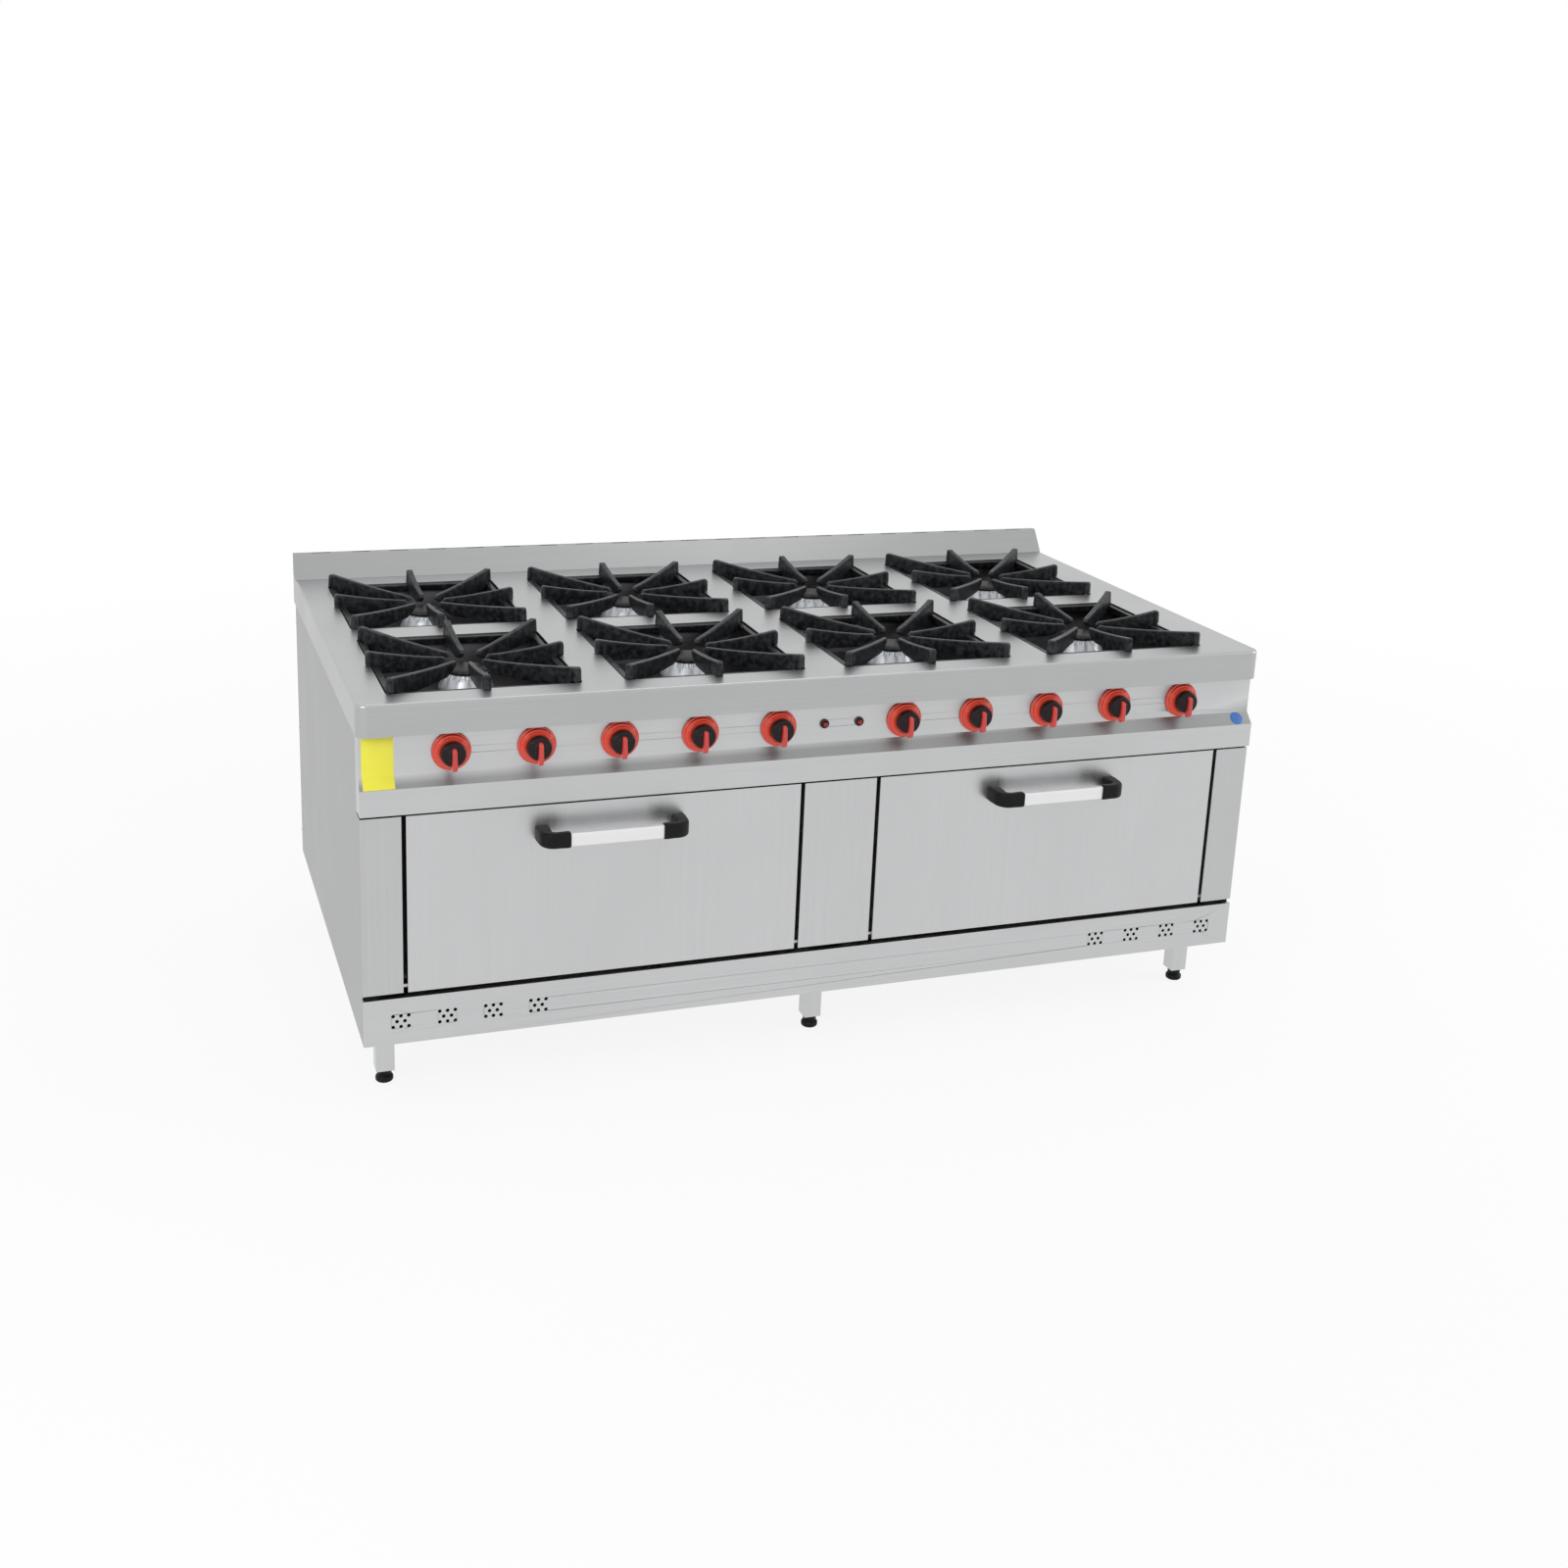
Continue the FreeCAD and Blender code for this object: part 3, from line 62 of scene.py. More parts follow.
def corners_of(node):
    """The low and high corners of a CAD node's box, in millimetres."""
    return [np.array((corner - Vector((0, EDGE, 0))) / MM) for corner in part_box(node)]


def middle(node):
    low, high = corners_of(node)
    return (low + high) / 2


BURNERS = range(1, 9)
KNOBS = range(1, 11)
FEET = range(1, 7)
SIDES = ("left", "right")

BUTTON_PROUD = 9.0
GRIP_PROUD = 9.0
DISC_RADIUS = 26.0
SIDE_FACE, BACK_FACE = 897.0, 977.6
WELL_WIDTH, WELL_DEPTH = 352.0, 378.0
BAR_Y = -41.0
SHARP_PAST, SHEET_SHARP_PAST, SHEET_EASED_PAST = math.radians(38), math.radians(40), math.radians(50)
HAZE_COLOUR = (0.35, 0.33, 0.3)
PANEL_Y = corners_of("igniter_button_left")[0][1] + BUTTON_PROUD
KNOB_FRONT = -corners_of("knob_1")[0][1] - GRIP_PROUD
KNOB_Z = corners_of("knob_1")[1][2] - DISC_RADIUS
LEDGE_BACK_Z, LEDGE_FRONT_Z = 629.0, 608.0


# Forms

def eased(corners, radius, steps=4, closed=True):
    """Softens the corners of lines of points: each corner P becomes (1-t)^2 A + 2t(1-t) P + t^2 B.

    A and B lie on the two sides at the radius from P, or half the side where that is less.
    """
    spots = np.asarray(corners, float)
    reach = np.broadcast_to(np.asarray(radius, float), spots.shape[:-1])[..., None]

    def towards(other):
        gap = other - spots
        length = np.maximum(np.linalg.norm(gap, axis=-1, keepdims=True), 1e-9)
        return spots + gap / length * np.minimum(reach, length * 0.499)

    a = towards(np.roll(spots, 1, axis=-2))[..., None, :]
    b = towards(np.roll(spots, -1, axis=-2))[..., None, :]
    t = np.linspace(0, 1, steps + 1)[:, None]
    curve = (1 - t) ** 2 * a + 2 * t * (1 - t) * spots[..., None, :] + t ** 2 * b
    if not closed:
        curve[..., 0, :, :] = spots[..., :1, :]
        curve[..., -1, :, :] = spots[..., -1:, :]
    return curve.reshape(*spots.shape[:-2], -1, spots.shape[-1])


def skin(rings, round_trip=False):
    """A closed skin over rows of points. Each row closes on itself, and the end rows close to their middles."""
    rings = np.asarray(rings, float)
    if not round_trip:
        first, last = (np.broadcast_to(ring.mean(axis=0), ring.shape)[None] for ring in (rings[0], rings[-1]))
        rings = np.concatenate([first, rings, last])
    rows, columns = rings.shape[:2]
    i, j = np.meshgrid(np.arange(rows if round_trip else rows - 1), np.arange(columns), indexing="ij")
    i_next, j_next = (i + 1) % rows, (j + 1) % columns
    row, row_next = i * columns, i_next * columns
    quads = np.stack([row + j, row + j_next, row_next + j_next, row_next + j], axis=-1)
    return rings.reshape(-1, 3), quads.reshape(-1, 4)


AXES = {"up": np.eye(3), "front": np.array([(1, 0, 0), (0, 0, 1), (0, -1, 0)], float),
        "back": np.array([(1, 0, 0), (0, 0, 1), (0, 1, 0)], float),
        "left": np.array([(0, 1, 0), (0, 0, 1), (-1, 0, 0)], float),
        "right": np.array([(0, 1, 0), (0, 0, 1), (1, 0, 0)], float)}


def lathe(profile, centre, axis="up", turns=48, ripple=0.0, waves=0):
    """A profile of (radius, height) points turned about an axis: centre + r cos t a + r sin t b + h axis.

    Ripple cuts flutes: r loses ripple * (1 + cos(waves t)) / 2, row by row.
    """
    profile = np.asarray(profile, float)
    angle = np.linspace(0, 2 * np.pi, turns, endpoint=False)
    radius = profile[:, :1] - np.reshape(ripple, (-1, 1)) * (1 + np.cos(waves * angle)) / 2
    a, b, c = AXES[axis]
    round_the_axis = np.cos(angle)[:, None] * a + np.sin(angle)[:, None] * b
    return skin(centre + radius[..., None] * round_the_axis + profile[:, 1, None, None] * c)


def carried(path, section, up=(0, 0, 1), loop=False):
    """A flat section carried along a path: point + u side + v lift, both square to the path."""
    path = np.asarray(path, float)
    step = np.linalg.norm(path - np.roll(path, 1, axis=0), axis=1)
    keep = step > 1e-6
    if not loop:
        keep[0] = True
    path = path[keep]
    along = np.roll(path, -1, axis=0) - np.roll(path, 1, axis=0) if loop else np.gradient(path, axis=0)
    along /= np.linalg.norm(along, axis=1, keepdims=True)
    side = np.cross(along, np.asarray(up, float))
    side /= np.linalg.norm(side, axis=1, keepdims=True)
    lift = np.cross(side, along)
    section = np.asarray(section, float)
    if section.ndim == 3:
        section = section[np.linspace(0, len(section) - 1, len(path)).round().astype(int)]
    rings = path[:, None] + section[..., :1] * side[:, None] + section[..., 1:] * lift[:, None]
    return skin(rings, round_trip=loop)


def rectangle(width, height, radius, steps):
    """A rectangle about the origin with softened corners."""
    w, h = width / 2, height / 2
    return eased([(-w, -h), (w, -h), (w, h), (-w, h)], radius, steps)


def placed(name, data):
    """A new object in the scene, at the origin."""
    made = bpy.data.objects.new(name, data)
    bpy.context.scene.collection.objects.link(made)
    return made


def trapezoids(low_half, high_half, low, high):
    """The four corners of each section in a row, from its half widths and heights at the bottom and the top."""
    pairs = ((-low_half, low), (low_half, low), (high_half, high), (-high_half, high))
    return np.stack([np.stack(pair, axis=-1) for pair in pairs], axis=1)


def piece(name, shells, finishes, body, replaces=()):
    """One finished object from shells of (points, quads, finish number), on a body of the range."""
    starts = np.cumsum([0] + [len(shell[0]) for shell in shells])
    points = np.concatenate([shell[0] for shell in shells]) * MM + (0, EDGE, 0)
    quads = np.concatenate([shell[1] + start for shell, start in zip(shells, starts)])
    marks = np.concatenate([np.full(len(shell[1]), shell[2] if len(shell) > 2 else 0) for shell in shells])
    mesh = bpy.data.meshes.new(name)
    mesh.from_pydata(points, [], quads)
    mesh.polygons.foreach_set("material_index", marks.astype(np.int32))
    for one in finishes:
        mesh.materials.append(one)
    work = bmesh.new()
    work.from_mesh(mesh)
    bmesh.ops.remove_doubles(work, verts=work.verts, dist=1e-6)
    bmesh.ops.recalc_face_normals(work, faces=work.faces)
    work.to_mesh(mesh)
    work.free()
    mesh.polygons.foreach_set("use_smooth", np.ones(len(mesh.polygons), bool))
    mesh.set_sharp_from_angle(angle=SHARP_PAST)
    made = placed(name, mesh)
    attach(made, body)
    if replaces:
        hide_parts(*replaces)


# Node trees

def add(tree, kind, feeds=None, **settings):
    """A node with its settings, and its sockets set to values or fed by outputs."""
    made = tree.nodes.new("ShaderNode" + kind)
    for key, value in settings.items():
        setattr(made, key, value)
    for key, value in (feeds or {}).items():
        if isinstance(value, bpy.types.NodeSocket):
            tree.links.new(value, made.inputs[key])
        else:
            made.inputs[key].default_value = value
    return made


def maths(tree, operation, a, b=0.0):
    return add(tree, "Math", {0: a, 1: b}, operation=operation).outputs[0]


def ranged(tree, value, low, high, to_low, to_high):
    """A value led from one range to another and held inside it."""
    feeds = {"Value": value, "From Min": low, "From Max": high, "To Min": to_low, "To Max": to_high}
    return add(tree, "MapRange", feeds).outputs["Result"]


def upward(tree):
    """How far a surface faces up: the height of its normal."""
    return add(tree, "SeparateXYZ", {0: add(tree, "NewGeometry").outputs["Normal"]}).outputs["Z"]


def blended(tree, factor, one, other):
    """Two colours mixed by a factor. Sockets 6, 7 and 2 are the node's colours in and out."""
    return add(tree, "Mix", {0: factor, 6: one, 7: other}, data_type="RGBA").outputs[2]


def new_group(name, inputs, outputs):
    tree = bpy.data.node_groups.new(name, "ShaderNodeTree")
    for label, kind, value in inputs:
        socket = tree.interface.new_socket(name=label, in_out="INPUT", socket_type="NodeSocket" + kind)
        if value is not None:
            socket.default_value = value
    for label, kind in outputs:
        tree.interface.new_socket(name=label, in_out="OUTPUT", socket_type="NodeSocket" + kind)
    return tree, tree.nodes.new("NodeGroupInput").outputs, tree.nodes.new("NodeGroupOutput").inputs


def grain_group():
    """Fine straight scratches along the stretched axis, with coarser bands among them."""
    tree, given, out = new_group("brushed_grain", [("Stretched", "Vector", None), ("Bands", "Float", 0.2)],
                                 [("Shade", "Float"), ("Height", "Float")])
    fine = add(tree, "TexNoise", {"Vector": given["Stretched"], "Scale": 1.0, "Detail": 3.0, "Roughness": 0.65})
    wider = add(tree, "VectorMath", {0: given["Stretched"], 1: (0.5, 0.5, 0.5), "Scale": given["Bands"]},
                operation="SCALE")
    bands = add(tree, "TexNoise", {"Vector": wider.outputs[0], "Scale": 1.0, "Detail": 2.0})
    both = maths(tree, "ADD", maths(tree, "MULTIPLY", fine.outputs[0], 0.6),
                 maths(tree, "MULTIPLY", bands.outputs[0], 0.4))
    tree.links.new(ranged(tree, both, 0.3, 0.7, 0.0, 1.0), out["Shade"])
    tree.links.new(fine.outputs[0], out["Height"])
    return tree


def marks_group():
    """Cloudy handling marks and a few small spots."""
    tree, given, out = new_group("handling_marks", [("Position", "Vector", None), ("Scale", "Float", 5.0)],
                                 [("Cloud", "Float"), ("Spots", "Float")])
    cloud = add(tree, "TexNoise", {"Vector": given["Position"], "Scale": given["Scale"], "Detail": 4.0,
                                   "Roughness": 0.6, "Distortion": 0.6})
    spots = add(tree, "TexVoronoi", {"Vector": given["Position"],
                                     "Scale": maths(tree, "MULTIPLY", given["Scale"], 9.0)})
    tree.links.new(ranged(tree, cloud.outputs[0], 0.35, 0.68, 0.0, 1.0), out["Cloud"])
    tree.links.new(ranged(tree, spots.outputs["Distance"], 0.08, 0.03, 0.0, 1.0), out["Spots"])
    return tree


def grit_group():
    """Sand-cast or moulded skin: rounded grains with pits between them."""
    tree, given, out = new_group("fine_grit", [("Position", "Vector", None), ("Scale", "Float", 400.0)],
                                 [("Height", "Float"), ("Pits", "Float")])
    noise = add(tree, "TexNoise", {"Vector": given["Position"], "Scale": given["Scale"], "Detail": 3.0})
    cells = add(tree, "TexVoronoi", {"Vector": given["Position"],
                                     "Scale": maths(tree, "MULTIPLY", given["Scale"], 0.45)})
    tree.links.new(maths(tree, "ADD", noise.outputs[0], maths(tree, "MULTIPLY", cells.outputs["Distance"], 0.5)),
                   out["Height"])
    tree.links.new(ranged(tree, cells.outputs["Distance"], 0.25, 0.05, 0.0, 1.0), out["Pits"])
    return tree


def wear_and_highlight_group():
    """Raised edges, where a finish rubs thin and where highlights are painted along them, broken up by noise."""
    tree, given, out = new_group("edge_wear_and_highlight", [("Position", "Vector", None), ("Reach", "Float", 0.06)],
                                 [("Mask", "Float")])
    edge = add(tree, "NewGeometry").outputs["Pointiness"]
    rough = add(tree, "TexNoise", {"Vector": given["Position"], "Scale": 90.0, "Detail": 3.0}).outputs[0]
    lifted = maths(tree, "ADD", edge, maths(tree, "MULTIPLY", maths(tree, "SUBTRACT", rough, 0.5), 0.12))
    limit = maths(tree, "ADD", given["Reach"], 0.5)
    tree.links.new(ranged(tree, lifted, 0.51, limit, 0.0, 1.0), out["Mask"])
    return tree


def dust_group():
    """Settled dust and cooking haze on surfaces that face up."""
    tree, given, out = new_group("settled_haze", [("Position", "Vector", None), ("Amount", "Float", 0.4)],
                                 [("Mask", "Float")])
    patches = add(tree, "TexNoise", {"Vector": given["Position"], "Scale": 14.0, "Detail": 5.0}).outputs[0]
    level = ranged(tree, upward(tree), 0.2, 0.95, 0.0, 1.0)
    spread = ranged(tree, patches, 0.35, 0.75, 0.0, 1.0)
    tree.links.new(maths(tree, "MULTIPLY", maths(tree, "MULTIPLY", level, spread), given["Amount"]), out["Mask"])
    return tree


GROUPS = {"brushed_grain": grain_group, "handling_marks": marks_group, "fine_grit": grit_group,
          "edge_wear_and_highlight": wear_and_highlight_group, "settled_haze": dust_group}


def shared(tree, name, feeds):
    """Places a shared group in a material's tree, and makes the group on its first use."""
    group = bpy.data.node_groups.get(name) or GROUPS[name]()
    return add(tree, "Group", feeds, node_tree=group).outputs


def tinted(colour, factor):
    return tuple(min(channel * factor, 1.0) for channel in colour[:3]) + (1.0,)


def started(name):
    material = bpy.data.materials.new(name)
    material.use_nodes = True
    tree = material.node_tree
    tree.nodes.clear()
    position = add(tree, "TexCoord").outputs["Object"]
    return material, tree, position


def ended(material, tree, tone, rough, relief, feeds):
    """Joins colour, roughness, relief (strength, distance, height) and the shader's other feeds."""
    bump = add(tree, "Bump", dict(zip(("Strength", "Distance", "Height"), relief)))
    shader = add(tree, "BsdfPrincipled", {"Base Color": tone, "Roughness": rough, "Normal": bump.outputs[0], **feeds})
    add(tree, "OutputMaterial", {"Surface": shader.outputs[0]})
    return material


def brushed(name, colour, roughness, grain=(6, 900, 900), spread=0.05, haze=0.0, metallic=1.0, rim=1.0, film_and_painted_shade=0.0):
    """Sheet metal with straight grain along the axis with the smallest scale.

    Rim dims its grazing reflections, haze settles on level faces, and a painted shade darkens faces that lean back,
    standing in for a darker reflection.
    """
    material, tree, position = started(name)
    stretched = add(tree, "Mapping", {"Vector": position, "Scale": grain}).outputs[0]
    lines = shared(tree, "brushed_grain", {"Stretched": stretched, "Bands": 0.22})
    marks = shared(tree, "handling_marks", {"Position": position, "Scale": 3.2})
    tone = blended(tree, lines["Shade"], tinted(colour, 1 - spread), tinted(colour, 1 + spread))
    tone = blended(tree, maths(tree, "MULTIPLY", marks["Cloud"], 0.35), tone, tinted(colour, 0.93))
    if haze:
        dust = shared(tree, "settled_haze", {"Position": position, "Amount": haze})["Mask"]
        tone = blended(tree, dust, tone, tinted(colour, 0.8))
    # Painted shade: faces that lean back darken as if they reflected something dark, broken up by the cloudy marks.
    if film_and_painted_shade:
        painted_ledge_shade = maths(tree, "MULTIPLY", ranged(tree, upward(tree), 0.35, 0.6, 0.0, film_and_painted_shade),
                       ranged(tree, marks["Cloud"], 0.0, 1.0, 1.0, 0.8))
        tone = blended(tree, painted_ledge_shade, tone, tinted(colour, 0.25))
    dull = maths(tree, "ADD", maths(tree, "MULTIPLY", marks["Cloud"], 0.06),
                 maths(tree, "MULTIPLY", marks["Spots"], 0.04))
    rough = maths(tree, "ADD", ranged(tree, lines["Shade"], 0.0, 1.0, roughness - 0.04, roughness + 0.05), dull)
    return ended(material, tree, tone, rough, (0.6, 0.00002, lines["Height"]),
                 {"Metallic": metallic, "Specular Tint": (rim, rim, rim, 1.0)})


def gritty(name, colour, roughness, scale=500, depth=0.00005, metallic=0.0, pits=0.7, wear_and_highlight=None, haze=0.0,
           coat=0.0, spread=0.08, shine=0.5):
    """Cast, moulded or enamelled skin with grain, optional worn and lighter edges, which on the grates are partly
    painted highlights, and settled haze.
    """
    material, tree, position = started(name)
    grit = shared(tree, "fine_grit", {"Position": position, "Scale": float(scale)})
    marks = shared(tree, "handling_marks", {"Position": position, "Scale": 8.0})
    tone = blended(tree, marks["Cloud"], tinted(colour, 1 - spread), tinted(colour, 1 + spread))
    tone = blended(tree, maths(tree, "MULTIPLY", grit["Pits"], 0.6), tone, tinted(colour, pits))
    # Lighter raised edges: worn finish, and on the grates also painted highlights along the tops of the fingers.
    if wear_and_highlight:
        mask = shared(tree, "edge_wear_and_highlight", {"Position": position, "Reach": 0.07})["Mask"]
        tone = blended(tree, maths(tree, "MULTIPLY", mask, 0.75), tone, tinted(wear_and_highlight, 1.0))
    if haze:
        film_and_painted_shade = shared(tree, "settled_haze", {"Position": position, "Amount": haze})["Mask"]
        tone = blended(tree, film_and_painted_shade, tone, tinted(HAZE_COLOUR, 1.0))
    rough = maths(tree, "ADD", ranged(tree, marks["Cloud"], 0.0, 1.0, roughness - 0.04, roughness + 0.07),
                  maths(tree, "MULTIPLY", grit["Pits"], 0.08))
    return ended(material, tree, tone, rough, (0.7, depth, grit["Height"]),
                 {"Metallic": metallic, "Coat Weight": coat, "Coat Roughness": 0.12, "Specular IOR Level": shine})


def spangled(name, colour, roughness):
    """Galvanised sheet: crystals of slightly different brightness and gloss."""
    material, tree, position = started(name)
    cells = add(tree, "TexVoronoi", {"Vector": position, "Scale": 55.0, "Randomness": 1.0})
    level = add(tree, "SeparateXYZ", {0: cells.outputs["Color"]}).outputs[0]
    marks = shared(tree, "handling_marks", {"Position": position, "Scale": 4.0})
    tone = blended(tree, level, tinted(colour, 0.8), tinted(colour, 1.12))
    tone = blended(tree, maths(tree, "MULTIPLY", marks["Cloud"], 0.3), tone, tinted(colour, 0.85))
    rough = ranged(tree, level, 0.0, 1.0, roughness - 0.1, roughness + 0.12)
    return ended(material, tree, tone, rough, (0.3, 0.00003, cells.outputs["Distance"]), {"Metallic": 0.9})


# The finishes of the range, by name

def finish(look_name):
    """Makes a finish once, from its maker, colour, roughness and settings in the table of recipes."""
    name = "range_" + look_name
    found = bpy.data.materials.get(name)
    if found:
        return found
    look = bpy.context.scene.range_look
    steel, iron, sheen = look.steel_colour, look.iron_colour, look.steel_roughness
    upright, rough_grain, smooth_skin = (900, 900, 6), (12, 300, 300), 0.00001
    recipes = {
        "sheet_steel": (brushed, steel, sheen, {}),
        "upright_steel": (brushed, steel, sheen, {"grain": upright}),
        # Lit and shaded copies of the one steel, as painted light and shade: the side panels, splashback and worktop
        # are tinted darker, the side panels and splashback also reflect less at grazing angles, and the doors are
        # tinted slightly lighter.
        "side_steel": (brushed, tinted(steel, 0.93), sheen + 0.03, {"grain": upright, "rim": 0.72}),
        "splash_steel": (brushed, tinted(steel, 0.66), sheen + 0.02, {"rim": 0.8}),
        # The panel's steel paints shade on faces that lean back, such as the ledge under the knobs, as a darker
        # reflection.
        "panel_steel": (brushed, steel, sheen + 0.05, {"film_and_painted_shade": 0.62}),
        "door_steel": (brushed, tinted(steel, 1.02), sheen, {"grain": upright, "spread": 0.035}),
        "top_steel": (brushed, tinted(steel, 0.82), sheen + 0.04, {"haze": 0.12}),
        "galvanised": (spangled, (0.5, 0.51, 0.52), 0.42, {}),
        "frame_steel": (gritty, (0.16, 0.165, 0.17), 0.5, {"scale": 300, "metallic": 0.7, "wear_and_highlight": (0.4, 0.4, 0.4)}),
        "pin_steel": (brushed, (0.5, 0.5, 0.5), 0.25, {"grain": (60, 900, 900)}),
        "screw_steel": (brushed, (0.62, 0.62, 0.62), 0.22, {"grain": (500, 500, 500)}),
        "collar_red": (gritty, look.collar_colour, 0.24,
                       {"scale": 160, "depth": smooth_skin, "coat": 0.5, "pits": 0.95, "spread": 0.06}),
        "tap_brass": (gritty, (0.56, 0.38, 0.15), 0.33, {"scale": 350, "metallic": 1.0, "haze": 0.2}),
        "supply_pipe": (gritty, (0.2, 0.2, 0.21), 0.45, {"scale": 260, "metallic": 0.8, "haze": 0.3}),
        "feed_pipe": (brushed, (0.66, 0.66, 0.67), 0.3, {"grain": (300, 40, 300)}),
        "burner_casting": (gritty, look.burner_colour, 0.36,
                           {"scale": 420, "depth": 0.00012, "metallic": 0.75, "pits": 0.6, "haze": 0.12}),
        "cap_iron": (gritty, tinted(iron, 0.9), 0.42,
                     {"scale": 380, "depth": 0.0001, "metallic": 0.15, "wear_and_highlight": (0.1, 0.1, 0.105), "haze": 0.04,
                      "shine": 0.15}),
        # The drip pans' dark tone is partly painted shade of the wells under the grates.
        "tray_steel": (brushed, look.tray_colour, 0.3, {"grain": rough_grain, "spread": 0.12, "haze": 0.5}),
        "oven_enamel": (gritty, (0.035, 0.038, 0.045), 0.24,
                        {"scale": 700, "coat": 0.5, "pits": 3.0, "depth": 0.00002}),
        "burner_tube": (brushed, (0.3, 0.28, 0.26), 0.45, {"grain": rough_grain, "spread": 0.12}),
        "foot_plastic": (gritty, (0.008, 0.008, 0.009), 0.45,
                         {"scale": 600, "pits": 0.6, "haze": 0.08, "shine": 0.16}),
        # The grates' lighter edges are partly painted highlights along the finger tops.
        "grate_iron": (gritty, iron, 0.36,
                       {"scale": 330, "depth": 0.00014, "wear_and_highlight": (0.075, 0.08, 0.088), "haze": 0.03,
                        "spread": 0.14, "shine": 0.14}),
        "knob_plastic": (gritty, look.knob_colour, 0.34, {"scale": 900, "depth": smooth_skin, "shine": 0.16}),
        "grip_red": (gritty, look.grip_colour, 0.26, {"scale": 800, "depth": smooth_skin, "coat": 0.5, "pits": 0.9}),
        "button_plastic": (gritty, (0.3, 0.02, 0.015), 0.25, {"scale": 900, "depth": smooth_skin, "shine": 0.4}),
        "igniter_ring": (gritty, (0.02, 0.014, 0.014), 0.25, {"scale": 900, "depth": smooth_skin, "shine": 0.4}),
        "bar_aluminium": (brushed, look.bar_colour, 0.34, {"grain": (8, 700, 700), "spread": 0.03, "metallic": 0.55}),
        "bracket_plastic": (gritty, (0.006, 0.006, 0.007), 0.34, {"scale": 700, "depth": 0.00003, "shine": 0.16}),
        "rack_chrome": (brushed, (0.62, 0.62, 0.63), 0.14, {"grain": (120, 120, 120), "spread": 0.04}),
        "plate_yellow": (gritty, look.plate_colour, 0.42, {"depth": smooth_skin, "pits": 0.92, "spread": 0.03}),
        "disc_blue": (gritty, look.disc_colour, 0.3, {"scale": 600, "depth": smooth_skin, "coat": 0.4, "pits": 0.9}),
        "seal_cord": (woven, (0.3, 0.29, 0.27), 0.85, {}),
    }
    maker, colour, roughness, settings = recipes[look_name]
    return maker(name, colour, roughness, **settings)


def woven(name, colour, roughness):
    """Braided glass cord: crossed bands in the cord's own length and round its girth."""
    material, tree, position = started(name)
    first = add(tree, "TexWave", {"Vector": position, "Scale": 260.0, "Distortion": 1.5}, bands_direction="DIAGONAL")
    turned = add(tree, "Mapping", {"Vector": position, "Rotation": (0.0, math.pi / 2, math.pi / 2)}).outputs[0]
    second = add(tree, "TexWave", {"Vector": turned, "Scale": 260.0, "Distortion": 1.5}, bands_direction="DIAGONAL")
    strands = maths(tree, "MAXIMUM", first.outputs[1], second.outputs[1])
    tone = blended(tree, strands, tinted(colour, 0.45), tinted(colour, 1.1))
    return ended(material, tree, tone, roughness, (0.8, 0.0003, strands), {})


# Sizes and colours that a user would change

def colour_property(label, about, value):
    return bpy.props.FloatVectorProperty(name=label, description=about, default=value, size=3, min=0, max=1,
                                         subtype="COLOR")


def number_property(label, about, value, least, most, **kind):
    return bpy.props.FloatProperty(name=label, description=about, default=value, min=least, max=most, **kind)


class RangeLook(bpy.types.PropertyGroup):
    """Colours and gloss of the range's finishes."""
    steel_colour: colour_property("Steel", "Brushed stainless steel of the panels", (0.57, 0.575, 0.58))
    steel_roughness: number_property("Steel roughness", "How far the steel blurs what it reflects", 0.3, 0.05, 0.9,
                                     subtype="FACTOR")
    iron_colour: colour_property("Grates", "Enamelled cast iron of the grates", (0.008, 0.0085, 0.01))
    collar_colour: colour_property("Collars", "Stepped collars round the knobs", (0.76, 0.055, 0.022))
    grip_colour: colour_property("Grips", "Bar across each knob", (0.62, 0.035, 0.025))
    knob_colour: colour_property("Knobs", "Disc of each knob", (0.018, 0.012, 0.013))
    burner_colour: colour_property("Burners", "Cast heads of the burners", (0.6, 0.63, 0.66))
    # The drip pans' dark tone is partly painted shade of the wells under the grates.
    tray_colour: colour_property("Trays", "Drip pans under the burners", (0.1, 0.1, 0.105))
    bar_colour: colour_property("Handle bars", "Bars of the door handles", (0.86, 0.86, 0.87))
    plate_colour: colour_property("Plate", "Blank plate at the left end", (0.93, 0.88, 0.07))
    disc_colour: colour_property("Disc", "Plain disc at the right end", (0.03, 0.16, 0.55))


class RangeDetail(bpy.types.PropertyGroup):
    """Sizes of the small parts."""
    arm_width: number_property("Finger width", "Width of a grate finger at its tip", 0.0145, 0.008, 0.02,
                               unit="LENGTH")
    port_count: bpy.props.IntProperty(name="Burner ports", description="Ports cast round each burner head",
                                      default=36, min=12, max=60)
    collar_ease: number_property("Collar rounding", "Rounding of each step of a collar", 0.0019, 0.0, 0.002,
                                 unit="LENGTH")
    sheet_ease: number_property("Sheet edge", "Rounding of the cut edges of the sheets", 0.0005, 0.0, 0.0007,
                                unit="LENGTH")


class RangeStudio(bpy.types.PropertyGroup):
    """Floor, light and background."""
    floor_colour: colour_property("Floor", "Plain pale floor", (0.93, 0.93, 0.93))
    floor_glow: number_property("Floor glow", "How far the floor looks white whatever falls on it", 0.86, 0.0, 1.0,
                                subtype="FACTOR")
    surround: number_property("Surround", "Soft light from all round", 0.72, 0.0, 2.0)
    key_power: number_property("Main lamp", "Soft lamp at the front left", 22.0, 0.0, 500.0, unit="POWER")
    top_power: number_property("Top lamp", "Soft lamp over the worktop", 7.0, 0.0, 500.0, unit="POWER")
    side_power: number_property("Side lamp", "Soft lamp at the right", 14.0, 0.0, 500.0, unit="POWER")


